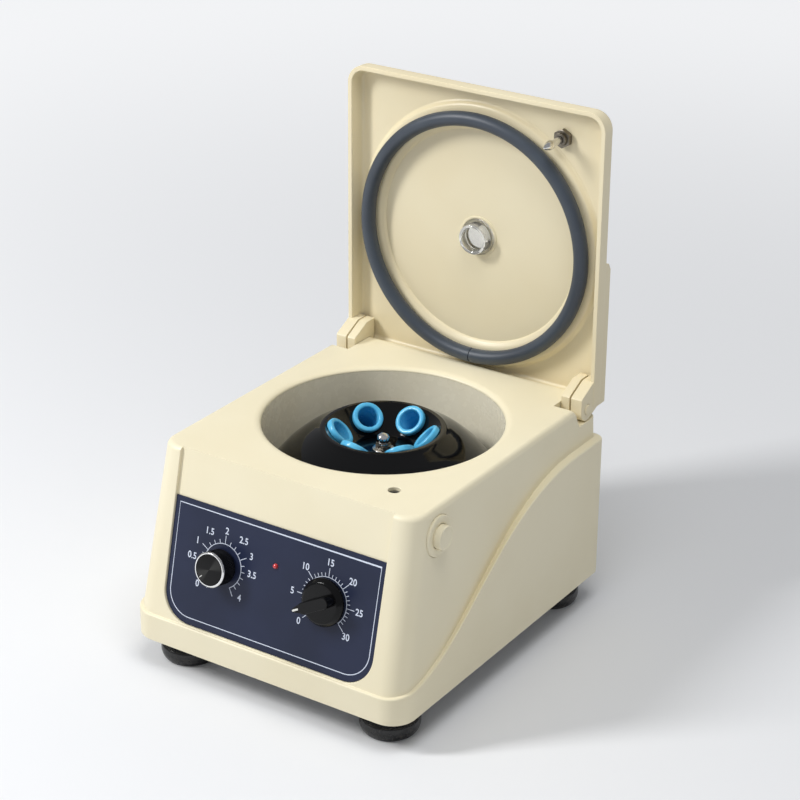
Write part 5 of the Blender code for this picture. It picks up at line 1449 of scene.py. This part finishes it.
# Lid gasket
# A length of round grey rubber cord, pushed into its seat as a ring.
# Its two cut ends meet near the hinge.

gasket_tree, wires = grown_tree(
    "cord_ring", {
        "Radius": "Float", "Cord": "Float", "Start": "Float", "Sweep": "Float", "Finish": "Material",
    }
)
arc_sockets = {"Resolution": 220, "Radius": wires["Radius"]}
arc_sockets.update({"Start Angle": wires["Start"], "Sweep Angle": wires["Sweep"]})
gasket_path = add_node(gasket_tree, "GeometryNodeCurveArc", {"mode": "RADIUS"}, arc_sockets)
end_sweep(gasket_tree, gasket_path, wires["Cord"], 40)
grey_rubber = Finish("grey_rubber", roughness=0.42)
rubber_cloud = grey_rubber.noise(24, 3, 0.5)
rubber_bloom = grey_rubber.noise(500, 5, 0.7)
rubber_tone = grey_rubber.mix(rubber_cloud.ramp(0.3, 0.7), coloured(64, 72, 82), coloured(56, 63, 73))
grey_rubber.set(
    "Base Color",
    grey_rubber.mix(rubber_bloom.ramp(0.55, 0.8) * 0.25, rubber_tone, coloured(92, 100, 110)),
)
grey_rubber.set("Roughness", 0.36 + rubber_bloom * 0.16)
grey_rubber.relief(grey_rubber.noise(1500, 3), 0.00004, 0.5)
gasket = new_piece("gasket_cord", bpy.data.meshes.new("gasket_cord"))
gasket_values = {
    "Radius": 0.105, "Cord": 0.00625, "Start": math.radians(89.1), "Sweep": math.radians(359.55),
}
grow(gasket, gasket_tree, {**gasket_values, "Finish": grey_rubber.material})
gasket.data.transform(lid_place @ Matrix.Translation((0, lid_centre_y, 0.006 + gap + 0.00625)))
tidy_mesh(gasket.data, 50)
dressed(gasket, grey_rubber, "gasket_rubber", "lid", "lid_gasket")

# Viewing window
# A clear moulded plug with a flange outside, a short tube inside and a ring nut, to see the rotor through.

clear = clouded(
    "clear_acrylic",
    (90, 3, 0.5),
    (0.3, 0.7),
    (236, 234, 226),
    (224, 222, 214),
    0.03,
    0.08,
    transmission_weight=0.92,
    ior=1.49,
)
clear.relief(clear.cloud, 0.00003, 0.3)
window_profile = [
    (0.0, 0.0278), (0.0165, 0.0278), (0.0165, 0.0263), (0.0130, 0.0263), (0.0130, 0.0125),
    (0.0105, 0.0125), (0.0105, 0.0240), (0.0, 0.0240),
]
window_rounding = {1: 0.0006, 2: 0.0003, 4: 0.0006, 5: 0.0006, 6: 0.0006}
window = spun("window_plug", round_corners(window_profile, window_rounding, 4), 96)
window.data.transform(lid_place @ window_spot)
dressed(window, clear, "clear_plastic", "lid", "lid_window")
nut_profile = [(0.0133, 0.0227), (0.0155, 0.0227), (0.0155, 0.0207), (0.0133, 0.0207)]
window_nut = spun(
    "window_ring_nut", round_corners(nut_profile, {2: 0.0005, 3: 0.0003}, 4), 96, closed=True,
)
window_nut.data.transform(lid_place @ window_spot)
dressed(window_nut, clear, "clear_plastic", "lid", "window_nut")

# Latch pin and its nut
# A turned steel pin with a pointed tip and a neck for the slide, held in the lid by a dark hexagon nut.

tip = 0.023 - 0.033
pin_profile = [
    (0.0, 0.0278), (0.0060, 0.0278), (0.0060, 0.0263), (0.0030, 0.0263), (0.0030, tip + 0.0110),
    (0.0040, tip + 0.0110), (0.0040, tip + 0.0085), (0.0024, tip + 0.0032), (0.0006, tip),
    (0.0, tip),
]
pin = spun(
    "latch_pin_turned", round_corners(pin_profile, {1: 0.0008, 5: 0.0004, 6: 0.0016, 8: 0.0004}, 5), 64,
)
pin.data.transform(lid_place @ pin_spot)
dressed(pin, polished, "bright_steel", "lid", "latch_pin")
latch_nut = hexagon_nut("latch_nut_dark", 0.014, 0.0177, 0.0227, math.pi / 6)
collar_line = [(0.0, 0.0180), (0.0055, 0.0180), (0.0055, 0.0147), (0.0, 0.0147)]
carve(latch_nut, spun("nut_collar", round_corners(collar_line, {2: 0.0006}, 4), 64), "UNION")
carve(latch_nut, slab("nut_bore", disc(0.0033, 32), 0.010, 0.026))
evened(latch_nut, 26)
latch_nut.data.transform(lid_place @ pin_spot)
dressed(latch_nut, blackened, "dark_steel", "lid", "latch_nut")

# Hinge tabs and pins
# Two pressed steel tabs stand in the housing's corners, and a headed pin through each ear turns in them.
# A low cream cap hides each pin's head.

for side, turn in (("left", -1), ("right", 1)):
    cap_line = round_corners([(0.0, 0.0014), (0.0043, 0.0012), (0.0046, 0.0), (0.0, 0.0)], {1: 0.0006}, 5)
    pin_cap = spun("hinge_pin_cap_" + side, cap_line, 48)
    cap_spot = Matrix.Translation((turn * ear_face, hinge_y, hinge_z))
    pin_cap.data.transform(cap_spot @ Matrix.Rotation(turn * math.pi / 2, 4, "Y"))
    dressed(pin_cap, lid_cream, "lid_plastic", "lid")
    as_built("hinge_tab_" + side, zinc, "zinc_steel", "housing", 0.0002)
    as_built("hinge_pin_" + side, zinc, "zinc_steel", "lid")

# Studio
# A plain pale floor and backdrop, with large soft lamps.

backdrop = Finish("pale_floor", roughness=0.7, specular_ior_level=0.2)
backdrop.set("Base Color", coloured(236, 237, 239))
floor_reach = backdrop.reach(backdrop.where)
seen = [backdrop.node("ShaderNodeLightPath", output=k) for k in (0, 3, 6)]
far_glow = floor_reach.ramp(0.25, 2.2) * (seen[0] + seen[1] + seen[2])
dark, white = (0.0, 0.0, 0.0, 1.0), (1.0, 1.0, 1.0, 1.0)
backdrop.set("Emission Color", backdrop.mix(far_glow * 0.5, dark, white))
backdrop.set("Emission Strength", 1.0)
floor_mesh = bpy.data.meshes.new("floor")
floor_mesh.from_pydata([(-6, -6, 0), (6, -6, 0), (6, 6, 0), (-6, 6, 0)], [], [(0, 1, 2, 3)])
floor = new_piece("floor", floor_mesh)
floor.data.materials.append(backdrop.material)


def lamp(name, place, aim, width, height, watts):
    """A large soft lamp that looks at a point."""
    light = bpy.data.lights.new(name, "AREA")
    light.shape = "ELLIPSE"
    light.size = width
    light.size_y = height
    light.energy = watts
    obj = bpy.data.objects.new(name, light)
    bpy.context.scene.collection.objects.link(obj)
    obj.location = place
    obj.rotation_euler = (Vector(aim) - Vector(place)).to_track_quat("-Z", "Y").to_euler()
    return obj


lamp("key_lamp", (-1.15, -1.1, 1.5), (0, 0, 0.15), 0.35, 0.9, 28)
top_lamp = lamp("top_lamp", (0.4, -0.3, 1.85), (0, 0, 0.15), 1.0, 1.0, 13)
top_lamp.visible_glossy = False
world = bpy.data.worlds.new("studio")
bpy.context.scene.world = world
world.use_nodes = True
sky = world.node_tree.nodes["Background"].inputs
sky["Color"].default_value = (0.9, 0.92, 0.95, 1.0)
sky["Strength"].default_value = 0.34
bpy.context.scene.view_settings.view_transform = "Standard"

# Camera
# It stands where the photograph's camera stood, worked out from the object's own edges and circles.

camera_turn, camera_rise, camera_roll = math.radians(33.51), math.radians(24.91), math.radians(0.41)
camera_distance = 1.92404
camera_target = Vector((0.0, front_y + 0.197, 0.19555))
away = Vector(
    (
        math.sin(camera_turn) * math.cos(camera_rise),
        -math.cos(camera_turn) * math.cos(camera_rise),
        math.sin(camera_rise),
    )
)
level = Vector((math.cos(camera_turn), math.sin(camera_turn), 0.0))
upward = away.cross(level)
right = level * math.cos(camera_roll) + upward * math.sin(camera_roll)
above = upward * math.cos(camera_roll) - level * math.sin(camera_roll)
camera_data = bpy.data.cameras.new("camera")
camera_data.sensor_width = 36.0
camera_data.lens = 36.0 * 2335.25 / 800
camera = bpy.data.objects.new("camera", camera_data)
bpy.context.scene.collection.objects.link(camera)
facing = Matrix((right, above, away)).transposed().to_4x4()
camera.matrix_world = Matrix.Translation(camera_target + away * camera_distance) @ facing
bpy.context.scene.camera = camera
